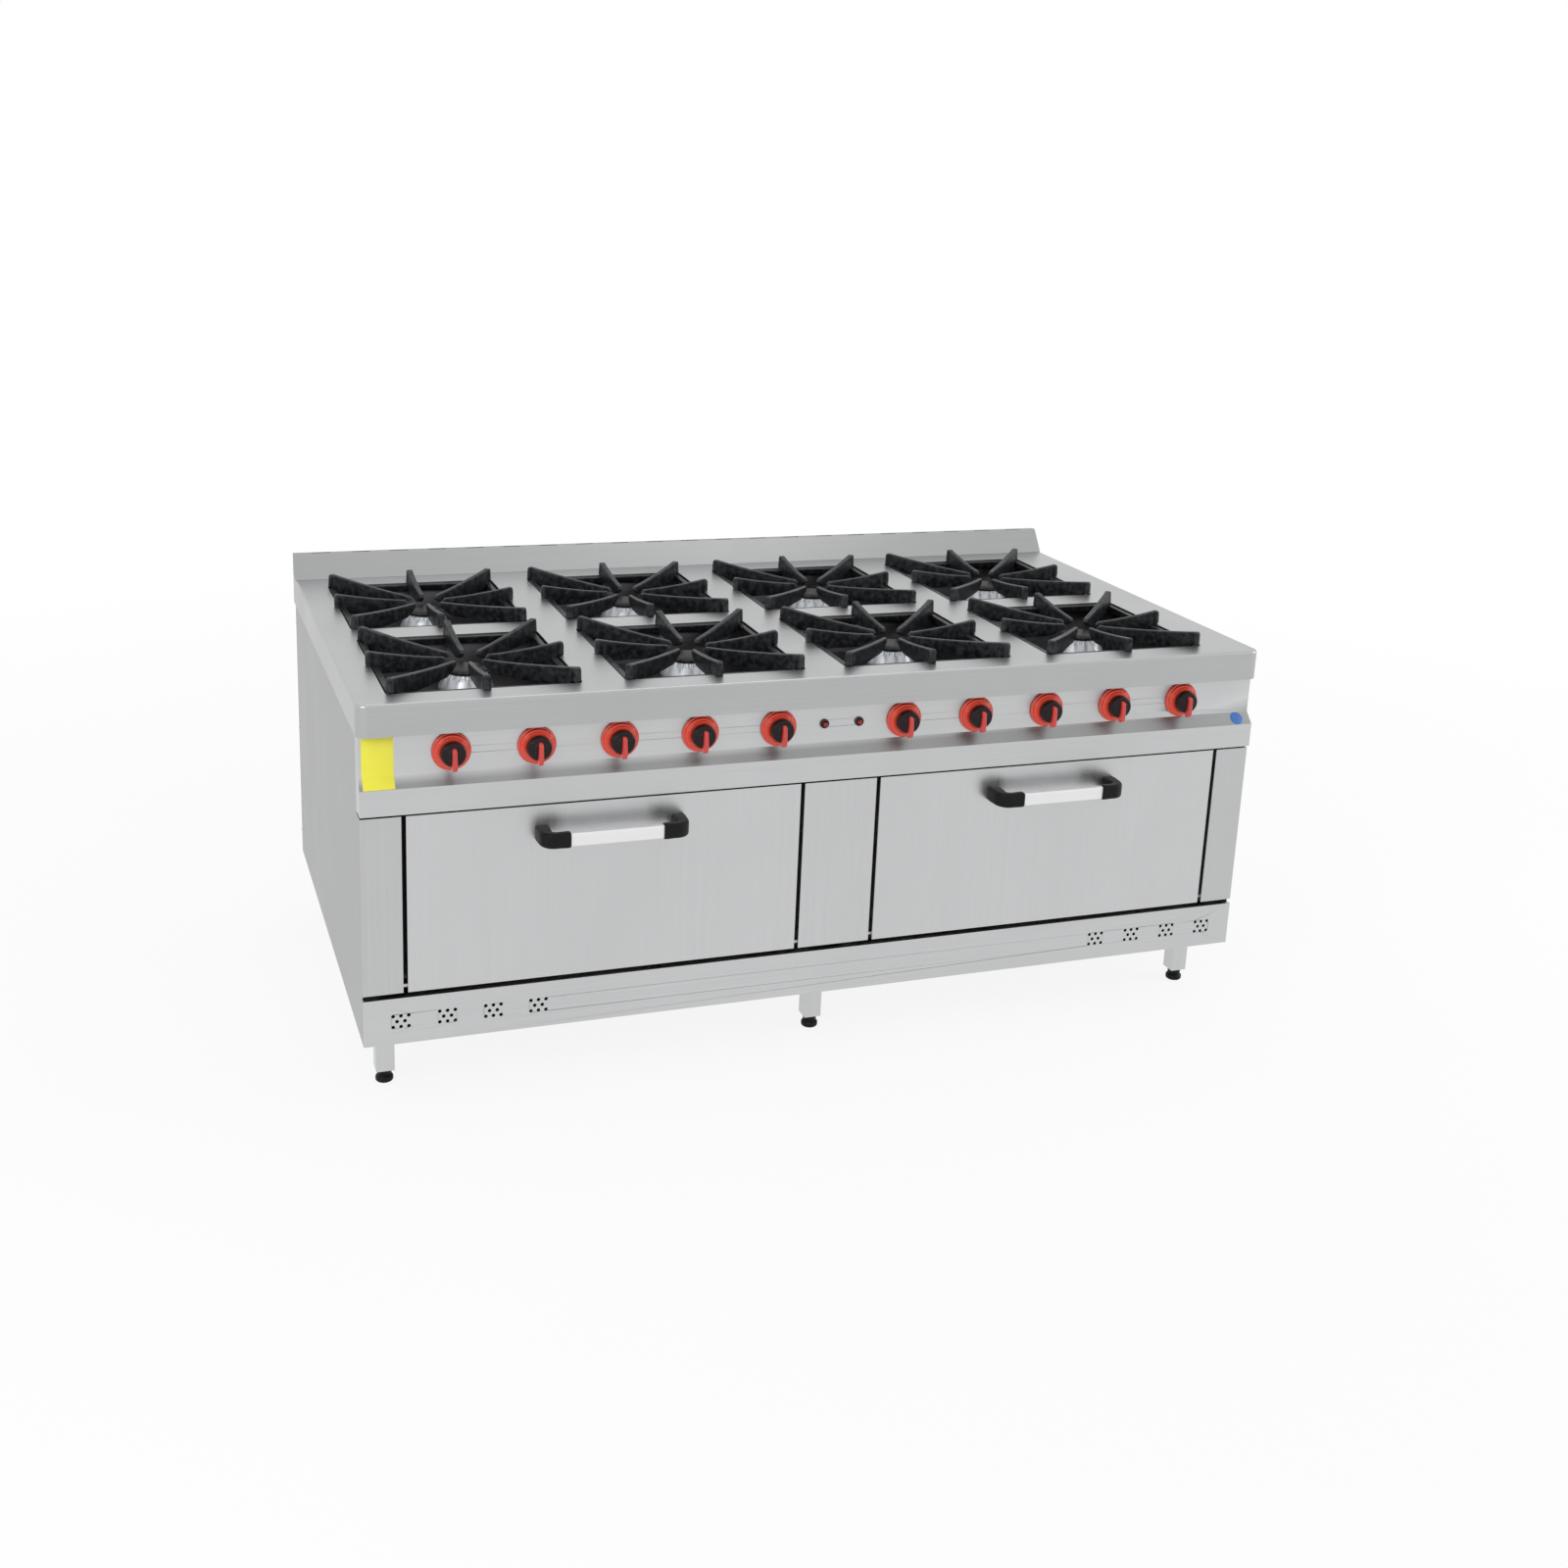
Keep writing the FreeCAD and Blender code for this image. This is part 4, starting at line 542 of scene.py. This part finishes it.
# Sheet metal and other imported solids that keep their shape

SHEET_FINISHES = {
    "left_side_panel": "side_steel", "right_side_panel": "side_steel", "worktop": "top_steel",
    "splashback": "splash_steel", "control_panel": "panel_steel", "plinth_panel": "sheet_steel",
    "centre_panel": "upright_steel", "left_door_outer": "door_steel", "right_door_outer": "door_steel",
    "left_door_liner": "sheet_steel", "right_door_liner": "sheet_steel", "legs": "upright_steel",
    "back_panel": "galvanised", "base_tray": "galvanised", "oven_flues": "galvanised",
    "spill_trays": "tray_steel", "left_oven_cavity": "oven_enamel", "right_oven_cavity": "oven_enamel",
    "rack_runners": "rack_chrome", "chassis_frame": "frame_steel", "gas_valves": "tap_brass",
}
ROUND_FINISHES = {
    "door_hinge_pins": "pin_steel", "gas_manifold": "supply_pipe", "burner_feed_pipes": "feed_pipe",
    "oven_burners": "burner_tube", "left_oven_rack": "rack_chrome", "right_oven_rack": "rack_chrome",
}


def smooth_group():
    """Shades faces smoothly and keeps edges sharp past a set angle."""
    name = "smooth_under_angle"
    found = bpy.data.node_groups.get(name)
    if found:
        return found
    tree = bpy.data.node_groups.new(name, "GeometryNodeTree")
    tree.interface.new_socket(name="Geometry", in_out="INPUT", socket_type="NodeSocketGeometry")
    tree.interface.new_socket(name="Geometry", in_out="OUTPUT", socket_type="NodeSocketGeometry")
    given, out = tree.nodes.new("NodeGroupInput"), tree.nodes.new("NodeGroupOutput")
    faces, edges = (tree.nodes.new("GeometryNodeSetShadeSmooth") for _ in range(2))
    faces.domain, edges.domain = "FACE", "EDGE"
    edges.inputs["Shade Smooth"].default_value = False
    angle = tree.nodes.new("GeometryNodeInputMeshEdgeAngle")
    past = tree.nodes.new("FunctionNodeCompare")
    past.data_type = "FLOAT"
    past.operation = "GREATER_THAN"
    past.inputs[1].default_value = SHEET_SHARP_PAST
    tree.links.new(given.outputs[0], faces.inputs["Geometry"])
    tree.links.new(faces.outputs[0], edges.inputs["Geometry"])
    tree.links.new(angle.outputs[0], past.inputs[0])
    tree.links.new(past.outputs[0], edges.inputs["Selection"])
    tree.links.new(edges.outputs[0], out.inputs[0])
    return tree


def dress(node, look, ease):
    """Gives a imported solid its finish, joined faces, softly broken edges and smooth shading."""
    material = finish(look)
    if not node.material_slots:
        node.data.materials.append(None)
    for slot in node.material_slots:
        slot.material = material
    weld = node.modifiers.new("join", "WELD")
    weld.merge_threshold = 0.00002
    if ease:
        bevel = node.modifiers.new("edges", "BEVEL")
        bevel.width = ease
        bevel.segments = 2
        bevel.limit_method = "ANGLE"
        bevel.angle_limit = SHEET_EASED_PAST
    shade = node.modifiers.new("shade", "NODES")
    shade.node_group = smooth_group()
    normals = node.modifiers.new("normals", "WEIGHTED_NORMAL")
    normals.keep_sharp = True


class RANGE_OT_sheets(bpy.types.Operator):
    """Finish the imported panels, frame, ovens and pipes."""
    bl_idname = "gas_range.sheets"
    bl_label = "Panels and inner parts"

    def execute(self, context):
        ease = context.scene.range_detail.sheet_ease
        for name, look in SHEET_FINISHES.items():
            dress(NODES[name], look, ease)
        for name, look in ROUND_FINISHES.items():
            dress(NODES[name], look, 0)
        return {"FINISHED"}


# Cast grates

def grate_finger(reach, angle, tip_width):
    """One finger, as upright sections carried outwards.

    At distance r the top climbs as (share of the way out) ^ 1.45, and the underside drops into the well and steps
    up again to rest on the worktop.
    """
    inner, step = 36.0, 14.0
    foot = reach - step
    r = np.concatenate([[inner, inner + 2, inner + 5], np.linspace(inner + 10, foot - 0.6, 15),
                        [foot, foot + 0.6, reach - 8, reach - 5, reach - 2.5, reach - 0.8, reach]])
    out = np.clip((r - inner - 5) / (reach - inner - 10), 0, 1)
    top = 9 + 18 * out ** 1.45
    top = np.where(r < inner + 5, np.interp(r, [inner, inner + 5], [4, 9]), top)
    top -= np.interp(r, [reach - 5, reach - 2.5, reach - 0.8, reach], [0, 0.5, 2.2, 5])
    low = np.interp(r, [inner, inner + 34, foot - 0.3, foot + 0.3, reach - 2, reach], [2, -15, -15, 0.3, 0.3, 1.8])
    half = np.interp(r, [inner, inner + 4, inner + 20, reach - 30, reach - 3, reach],
                     [2.5, 4.2, 5.2, tip_width / 2 * 0.86, tip_width / 2, tip_width / 2 - 1.6])
    loops = eased(trapezoids(half * 1.12, half * 0.9, low, top), [1.2, 1.2, 2.4, 2.4], 3)
    c, s = math.cos(angle), math.sin(angle)
    along, across = np.array([c, s, 0]), np.array([-s, c, 0])
    rings = r[:, None, None] * along + loops[..., :1] * across + loops[..., 1:] * np.array([0, 0, 1])
    return skin(rings)


def grate_ring(width, depth, low, high, bar):
    """The frame that joins the fingers: a soft-cornered bar carried round the well."""
    w, d = width / 2, depth / 2
    path = eased(np.array([(-w, -d, 0), (w, -d, 0), (w, d, 0), (-w, d, 0)]), 14, 5)
    path[:, 2] = (low + high) / 2
    return carried(path, rectangle(bar, high - low, 2.2, 3), loop=True)


def grate_shells(tip_width):
    reach_x, reach_y, corner_x, corner_y = 184, 200, 170, 184
    slant = math.atan2(corner_y, corner_x)
    long_reach = math.hypot(corner_x, corner_y)
    turns = [(reach_x, 0), (reach_x, math.pi), (reach_y, math.pi / 2), (reach_y, -math.pi / 2)]
    turns += [(long_reach, sign * slant + turn) for sign in (1, -1) for turn in (0, math.pi)]
    shells = [grate_finger(reach, angle, tip_width) for reach, angle in turns]
    clearance = 20
    shells.append(grate_ring(WELL_WIDTH - clearance, WELL_DEPTH - clearance, -15, -2, 12))
    return shells


class RANGE_OT_grates(bpy.types.Operator):
    """Cast the eight pan supports."""
    bl_idname = "gas_range.grates"
    bl_label = "Grates"

    def execute(self, context):
        shells = grate_shells(context.scene.range_detail.arm_width / MM)
        for number in BURNERS:
            x, y = middle(f"grate_{number}")[:2]
            moved = [(points + (x, y, TOP), quads) for points, quads in shells]
            piece(f"pan_support_{number}", moved, [finish("grate_iron")], f"grate_{number}",
                  [f"grate_{number}"])
        return {"FINISHED"}


# Burners

def burner_shells(x, y, ports):
    """A level mixing tube, an upright neck and a fluted head, each a profile turned about its axis."""
    head = eased([(0, TOP - 74), (20, TOP - 74), (23, TOP - 62), (49, TOP - 54), (52, TOP - 51), (50, TOP - 46),
                  (42.5, TOP - 30), (41, TOP - 27), (37, TOP - 20), (0, TOP - 19.8)], 2.0, 3, closed=False)
    flute = 1.6 * np.clip(1 - np.abs(head[:, 1] - (TOP - 25)) / 6, 0, 1) * (head[:, 0] > 30)
    neck = eased([(0, 650), (20, 650), (23, 655), (23, 685), (25, 690), (0, 690)], 2.0, 3, closed=False)
    tube = eased([(0, -22), (15, -22), (15, 40), (13, 60), (13, 72), (18, 74), (18.5, 88), (11, 88), (9, 70),
                  (0, 70)], 1.6, 3, closed=False)
    return [lathe(head, (x, y, 0), turns=ports * 4, ripple=flute, waves=ports),
            lathe(neck, (x, y, 0), turns=36), lathe(tube, (x, y, KNOB_Z), "front", turns=32)]


def cap_shell(x, y):
    """A flat-domed lid with a shallow step round it."""
    profile = eased([(0, TOP - 20), (37, TOP - 20), (40, TOP - 18.5), (40, TOP - 15.5), (33, TOP - 12.2),
                     (31.5, TOP - 12.6), (28, TOP - 11.4), (8, TOP - 11), (0, TOP - 11)], 1.3, 4, closed=False)
    return lathe(profile, (x, y, 0), turns=64)


class RANGE_OT_burners(bpy.types.Operator):
    """Cast the eight burners and turn their caps."""
    bl_idname = "gas_range.burners"
    bl_label = "Burners"

    def execute(self, context):
        ports = context.scene.range_detail.port_count
        castings, caps = [], []
        for number in BURNERS:
            x, y = middle(f"grate_{number}")[:2]
            castings += burner_shells(x, y, ports)
            caps.append(cap_shell(x, y))
        piece("burner_castings", castings, [finish("burner_casting")], "range_body",
              ["burner_bodies"])
        piece("burner_lids", caps, [finish("cap_iron")], "range_body", ["burner_caps"])
        return {"FINISHED"}


# Knobs, collars and buttons

def knob_shells(x, z):
    """A disc and shaft turned about the shaft, and a grip bar lofted down the face.

    The grip's depth falls away at both ends as the square root of one minus the distance squared.
    """
    front, rear, tip = KNOB_FRONT, KNOB_FRONT - 15, -46
    disc = eased([(0, front + 0.4), (13, front + 0.4), (17, front), (19.2, front - 0.8), (20, front - 2.4),
                  (21.4, front - 3), (21.8, rear + 6), (22.4, rear), (4, rear), (4, tip), (0, tip)], 1.2, 4,
                 closed=False)
    hub = eased([(0, front + 2.4), (11, front + 2.2), (14, front - 0.4), (0, front - 0.4)], 1.5, 3, closed=False)
    low, high = -29.0, 14.0
    t = np.linspace(-1, 1, 25)
    down = (low + high) / 2 + t * (high - low) / 2
    fade = np.sqrt(np.clip(1 - np.abs(t) ** 6, 0, 1))
    half = np.interp(down, [low, low + 10, high], [5.4, 5.2, 4.6]) * (0.6 + 0.4 * fade)
    proud = front + GRIP_PROUD * fade
    foot = np.full_like(proud, front - 3.0)
    loops = eased(trapezoids(half, half * 0.86, foot, proud), [0.3, 0.3, 2.4, 2.4], 4)
    heights = z + np.broadcast_to(down[:, None], loops.shape[:2])
    rings = np.stack([x + loops[..., 0], -loops[..., 1], heights], axis=-1)
    return [lathe(disc, (x, 0, z), "front", turns=64), lathe(hub, (x, 0, z), "front", turns=40), skin(rings) + (1,)]


def collar_shell(x, z, ease):
    """Three stepped rings, the profile of a short stack of discs with soft corners."""
    steps = [(6, 0), (35, 0), (35, 5.1), (31, 5.3), (31, 10.1), (27, 10.3), (27, 15), (24.5, 14.7), (6, 14.1)]
    profile = eased(steps, ease, 5)
    profile = np.concatenate([profile, profile[:1]])
    return lathe(profile, (x, PANEL_Y, z), "front", turns=72)


def igniter_collar(x, z):
    """A small ring on the panel and the barrel behind it."""
    ring = eased([(0, -31), (6.4, -31), (6.4, 0), (9, 0), (9, 3), (8, 4), (5.4, 4), (5.2, 1), (0, 1)], 0.9, 3,
                 closed=False)
    return lathe(ring, (x, PANEL_Y, z), "front", turns=40)


class RANGE_OT_knobs(bpy.types.Operator):
    """Mould the ten knobs."""
    bl_idname = "gas_range.knobs"
    bl_label = "Knobs"

    def execute(self, context):
        for number in KNOBS:
            x = middle(f"knob_{number}")[0]
            piece(f"control_knob_{number}", knob_shells(x, KNOB_Z), [finish("knob_plastic"), finish("grip_red")],
                  f"knob_{number}", [f"knob_{number}"])
        return {"FINISHED"}


class RANGE_OT_collars(bpy.types.Operator):
    """Turn the stepped collars and the rings of the igniters."""
    bl_idname = "gas_range.collars"
    bl_label = "Collars"

    def execute(self, context):
        ease = context.scene.range_detail.collar_ease / MM
        shells = []
        for number in KNOBS:
            shells.append(collar_shell(middle(f"knob_{number}")[0], KNOB_Z, ease))
        for side in SIDES:
            x, _, z = middle(f"igniter_button_{side}")
            shells.append(igniter_collar(x, z) + (1,))
        piece("knob_collars", shells, [finish("collar_red"), finish("igniter_ring")], "range_body",
              ["control_bezels"])
        return {"FINISHED"}


class RANGE_OT_buttons(bpy.types.Operator):
    """Turn the two igniter buttons."""
    bl_idname = "gas_range.buttons"
    bl_label = "Igniter buttons"

    def execute(self, context):
        for side in SIDES:
            x, _, z = middle(f"igniter_button_{side}")
            profile = eased([(0, 9), (3.2, 8.7), (4.5, 7.2), (4.5, 0), (2.5, 0), (2.5, -23), (0, -23)], 0.9, 4,
                            closed=False)
            piece(f"push_button_{side}", [lathe(profile, (x, PANEL_Y, z), "front", turns=32)],
                  [finish("button_plastic")], f"igniter_button_{side}", [f"igniter_button_{side}"])
        return {"FINISHED"}


# Door handles

def bar_shell(x, z):
    """A straight bar whose section is a soft, slightly crowned rectangle."""
    section = eased([(-6, -13), (6, -13), (6.6, 0), (6, 13), (-6, 13), (-6.6, 0)], [4, 4, 6, 4, 4, 6], 4)
    path = np.stack([np.linspace(x - 99, x + 99, 12), np.full(12, BAR_Y), np.full(12, z)], axis=-1)
    return carried(path, section)


def elbow_shell(x, z, way):
    """An elbow from the door out to the bar's end: its section narrows along an arc, and its mouth is rolled."""
    turn = np.linspace(0, np.pi / 2, 12)
    foot_x, mouth_x, radius = 127.0, 86.0, 16.0
    arc = np.stack([foot_x - radius + radius * np.cos(turn), BAR_Y + radius - radius * np.sin(turn)], axis=-1)
    start = np.stack([np.full(6, foot_x), np.linspace(6, BAR_Y + radius + 2, 6)], axis=-1)
    finish_run = np.stack([np.linspace(foot_x - radius - 2, mouth_x, 8), np.full(8, BAR_Y)], axis=-1)
    flat = np.concatenate([start, arc, finish_run])
    path = np.stack([x + way * flat[:, 0], flat[:, 1], np.full(len(flat), z)], axis=-1)
    share = np.linspace(0, 1, len(flat))
    wide = np.interp(share, [0, 0.05, 0.3, 0.75, 0.9, 0.97, 1], [25, 26, 22, 17.4, 17.6, 17.6, 16.8])
    tall = np.interp(share, [0, 0.05, 0.3, 0.75, 0.9, 0.97, 1], [28, 29, 28, 28, 29, 29, 27.4])
    return carried(path, eased(trapezoids(wide, wide, -tall, tall) / 2, 5.5, 5))


class RANGE_OT_handles(bpy.types.Operator):
    """Make the door handles: a bar held by two elbows on each door."""
    bl_idname = "gas_range.handles"
    bl_label = "Door handles"

    def execute(self, context):
        for side in SIDES:
            x = middle(f"{side}_door_outer")[0]
            z = middle(f"{side}_handle_bar")[2]
            piece(f"{side}_bar", [bar_shell(x, z)], [finish("bar_aluminium")], f"{side}_door",
                  [f"{side}_handle_bar"])
            piece(f"{side}_elbows", [elbow_shell(x, z, way) for way in (-1, 1)], [finish("bracket_plastic")],
                  f"{side}_door", [f"{side}_handle_brackets"])
        return {"FINISHED"}


class RANGE_OT_feet(bpy.types.Operator):
    """Turn the six screw feet."""
    bl_idname = "gas_range.feet"
    bl_label = "Screw feet"

    def execute(self, context):
        threads = 16
        for number in FEET:
            x, y = middle(f"foot_{number}")[:2]
            pad = [(0, 0), (14, 0), (16.5, 2.5), (16.5, 9), (14.5, 11.4), (11.6, 12.6), (11.6, 15), (13.5, 16.6),
                   (13.5, 24.7), (0, 24.7)]
            profile = eased(pad, 0.9, 3, closed=False)
            grooves = 0.7 * (profile[:, 1] > 16.8) * (profile[:, 1] < 24) * (profile[:, 0] > 12)
            pitch = np.linspace(0, 1, 49)
            thread = np.stack([4.55 + 0.45 * np.cos(pitch * 2 * np.pi * threads), 24.5 + pitch * 33.5], axis=-1)
            stem = np.concatenate([[(0, 24.5)], thread, [(0, 58.2)]])
            piece(f"screw_foot_{number}", [lathe(profile, (x, y, 0), turns=48, ripple=grooves, waves=12),
                                           lathe(stem, (x, y, 0), turns=24) + (1,)],
                  [finish("foot_plastic"), finish("pin_steel")], f"foot_{number}", [f"foot_{number}"])
        return {"FINISHED"}


# Blank plates, screws and seals

def plate_shell():
    """A thin strip bent down the panel's face and over its ledge."""
    centre_x, top_z, width, thickness = -862.5, 699, 55, 0.5
    bend = np.array([(0, PANEL_Y - 0.3, top_z), (0, PANEL_Y - 0.3, LEDGE_BACK_Z + 0.2),
                     (0, 0.3, LEDGE_FRONT_Z + 0.6)])
    path = eased(bend, 3, 5, closed=False)
    path = np.concatenate([np.linspace(path[0], path[5], 4)[:-1], path[5:]]) + (centre_x, 0, 0)
    return carried(path, rectangle(width, thickness, 0.1, 2), up=(0, -1, 0.4))


def disc_shell(x):
    """A thin disc lying on the slope of the ledge."""
    radius = 13.8
    profile = eased([(0, 0.1), (radius, 0.1), (radius, 0.5), (0, 0.6)], 0.15, 2, closed=False)
    points, quads = lathe(profile, (0, 0, 0), "up", turns=48)
    slope = math.atan2(LEDGE_BACK_Z - LEDGE_FRONT_Z, PANEL_Y)
    turn = np.array(Matrix.Rotation(slope, 3, "X"))
    return points @ turn.T + (x, PANEL_Y / 2, (LEDGE_BACK_Z + LEDGE_FRONT_Z) / 2), quads


class RANGE_OT_plates(bpy.types.Operator):
    """Fix the blank plate and the plain disc to the control panel."""
    bl_idname = "gas_range.plates"
    bl_label = "Blank plates"

    def execute(self, context):
        piece("blank_plate", [plate_shell()], [finish("plate_yellow")], "range_body")
        piece("plain_disc", [disc_shell(866)], [finish("disc_blue")], "range_body")
        return {"FINISHED"}


def screw_shell(centre, axis):
    """A pan-head screw: a low dome with a lobed socket in its middle."""
    profile = eased([(0, 1.0), (1.6, 1.0), (1.8, 2.3), (3.2, 1.9), (4.2, 0.6), (4.2, -0.3), (0, -0.3)], 0.3, 2,
                    closed=False)
    lobes = 0.5 * (profile[:, 0] > 0.1) * (profile[:, 0] < 1.9)
    return lathe(profile, centre, axis, turns=24, ripple=lobes, waves=6)


class RANGE_OT_screws(bpy.types.Operator):
    """Put in the screws of the back and the sides."""
    bl_idname = "gas_range.screws"
    bl_label = "Screws"

    def execute(self, context):
        shells = []
        reach, low_z, high_z = 880, 150, 680
        for z in (low_z, 330, 510, high_z):
            for x in np.linspace(-reach, reach, 7) if z in (low_z, high_z) else (-reach, reach):
                shells.append(screw_shell((x, BACK_FACE, z), "back"))
        for axis, hand in (("left", -1), ("right", 1)):
            for z in (180, 420, 660):
                shells.append(screw_shell((hand * SIDE_FACE, 985, z), axis))
        piece("panel_screws", shells, [finish("screw_steel")], "range_body")
        return {"FINISHED"}


class RANGE_OT_seals(bpy.types.Operator):
    """Lay a braided seal round the mouth of each oven."""
    bl_idname = "gas_range.seals"
    bl_label = "Oven seals"

    def execute(self, context):
        inset, cord_y, cord_radius = 8, 48, 3.6
        for side in SIDES:
            low, high = corners_of(f"{side}_oven_cavity")
            (x0, _, z0), (x1, _, z1) = low + inset, high - inset
            corners = np.array([(x0, cord_y, z0), (x1, cord_y, z0), (x1, cord_y, z1), (x0, cord_y, z1)])
            path = eased(corners, 24, 8)
            turn = np.linspace(0, 2 * np.pi, 12, endpoint=False)
            cord = cord_radius * np.stack([np.cos(turn), np.sin(turn)], axis=-1)
            piece(f"{side}_oven_seal", [carried(path, cord, up=(0, 1, 0), loop=True)], [finish("seal_cord")],
                  "range_body")
        return {"FINISHED"}


# Studio

def lamp(name, place, target, across, tall, power):
    """A soft rectangular lamp aimed at a point."""
    data = bpy.data.lights.new(name, "AREA")
    data.shape = "RECTANGLE"
    data.size, data.size_y, data.energy = across, tall, power
    aim = (Vector(target) - Vector(place)).to_track_quat("-Z", "Y")
    placed(name, data).matrix_world = Matrix.Translation(place) @ aim.to_matrix().to_4x4()


def white_to_the_eye(tree):
    """One where a ray comes from the camera, a mirror or glass."""
    path = add(tree, "LightPath").outputs
    seen = maths(tree, "MAXIMUM", path["Is Camera Ray"], path["Is Glossy Ray"])
    return maths(tree, "MAXIMUM", seen, path["Is Transmission Ray"])


def studio_floor(studio):
    """A wide level sheet, plain white from a few steps away."""
    reach, rows = 14.0, 9
    lines = np.linspace(-reach, reach, rows)
    x, y = np.meshgrid(lines, lines, indexing="ij")
    points = np.stack([x, y, np.zeros_like(x)], axis=-1).reshape(-1, 3)
    i, j = np.meshgrid(np.arange(rows - 1), np.arange(rows - 1), indexing="ij")
    corner = i * rows + j
    quads = np.stack([corner, corner + rows, corner + rows + 1, corner + 1], axis=-1).reshape(-1, 4)
    mesh = bpy.data.meshes.new("studio_floor")
    mesh.from_pydata(points, [], quads)
    floor = placed("studio_floor", mesh)
    material, tree, position = started("floor_paper")
    cloud = add(tree, "TexNoise", {"Vector": position, "Scale": 3.0, "Detail": 2.0}).outputs[0]
    tone = blended(tree, cloud, tinted(studio.floor_colour, 0.99), tinted(studio.floor_colour, 1.01))
    paper = add(tree, "BsdfPrincipled", {"Base Color": tone, "Roughness": 0.9, "Specular IOR Level": 0.0})
    glow = add(tree, "Emission", {"Color": (1, 1, 1, 1), "Strength": 1.0})
    away = add(tree, "VectorMath", {0: position}, operation="LENGTH").outputs["Value"]
    glow_share = ranged(tree, away, 1.4, 4.0, studio.floor_glow, 1.0)
    share = maths(tree, "MULTIPLY", white_to_the_eye(tree), glow_share)
    mixed = add(tree, "MixShader", {0: share, 1: paper.outputs[0], 2: glow.outputs[0]})
    add(tree, "OutputMaterial", {"Surface": mixed.outputs[0]})
    mesh.materials.append(material)


def studio_world(studio):
    world = bpy.data.worlds.new("studio_surround")
    world.use_nodes = True
    tree = world.node_tree
    tree.nodes.clear()
    white = white_to_the_eye(tree)
    strength = ranged(tree, white, 0.0, 1.0, studio.surround, 1.0)
    light = add(tree, "Background", {"Color": (1, 1, 1, 1), "Strength": strength})
    add(tree, "OutputWorld", {"Surface": light.outputs[0]})
    bpy.context.scene.world = world


def studio_camera():
    """A camera at the height of a standing person, front left of the range."""
    data = bpy.data.cameras.new("view")
    place, heading, pitch, roll = (-1.28819, -3.52277, 1.69817), -0.35816, math.pi / 2 - 0.26617, 0.04161
    data.sensor_width, data.lens = 36.0, 42.51
    data.shift_x, data.shift_y = 0.0059, -0.0823
    data.clip_end = 100
    camera = placed("view", data)
    camera.matrix_world = (Matrix.Translation(place) @ Matrix.Rotation(heading, 4, "Z")
                           @ Matrix.Rotation(pitch, 4, "X") @ Matrix.Rotation(roll, 4, "Z"))
    bpy.context.scene.camera = camera


class RANGE_OT_studio(bpy.types.Operator):
    """Lay the floor, hang the lamps and set up the camera."""
    bl_idname = "gas_range.studio"
    bl_label = "Studio"

    def execute(self, context):
        studio = context.scene.range_studio
        studio_floor(studio)
        studio_world(studio)
        lamp("main_lamp", (-2.6, -2.4, 2.2), (0, 0, 0.4), 1.2, 1.2, studio.key_power)
        lamp("top_lamp", (0.2, 0.3, 2.7), (0, 0, 0.7), 2.4, 0.9, studio.top_power)
        lamp("side_lamp", (3.2, -1.2, 1.5), (0.4, 0, 0.4), 1.0, 1.4, studio.side_power)
        studio_camera()
        context.scene.view_settings.view_transform = "Standard"
        return {"FINISHED"}


class RANGE_PT_panel(bpy.types.Panel):
    """Lists the makers of the range's pieces and their settings."""
    bl_idname = "RANGE_PT_panel"
    bl_label = "Gas range"
    bl_space_type = "VIEW_3D"
    bl_region_type = "UI"
    bl_category = "Range"

    def draw(self, context):
        layout = self.layout
        for group in (context.scene.range_look, context.scene.range_detail, context.scene.range_studio):
            box = layout.box()
            for key in group.bl_rna.properties.keys():
                if key not in ("rna_type", "name"):
                    box.prop(group, key)
        for maker in MAKERS:
            layout.operator(maker.bl_idname)


MAKERS = (RANGE_OT_sheets, RANGE_OT_grates, RANGE_OT_burners, RANGE_OT_knobs, RANGE_OT_collars, RANGE_OT_buttons,
          RANGE_OT_handles, RANGE_OT_feet, RANGE_OT_plates, RANGE_OT_screws, RANGE_OT_seals, RANGE_OT_studio)
SETTINGS = (("range_look", RangeLook), ("range_detail", RangeDetail), ("range_studio", RangeStudio))


def register():
    for name, group in SETTINGS:
        bpy.utils.register_class(group)
        setattr(bpy.types.Scene, name, bpy.props.PointerProperty(type=group))
    for maker in MAKERS:
        bpy.utils.register_class(maker)
    bpy.utils.register_class(RANGE_PT_panel)


def unregister():
    bpy.utils.unregister_class(RANGE_PT_panel)
    for maker in reversed(MAKERS):
        bpy.utils.unregister_class(maker)
    for name, group in reversed(SETTINGS):
        delattr(bpy.types.Scene, name)
        bpy.utils.unregister_class(group)


def main():
    register()
    for maker in MAKERS:
        group, call = maker.bl_idname.split(".")
        getattr(getattr(bpy.ops, group), call)()


if __name__ == "__main__":
    main()
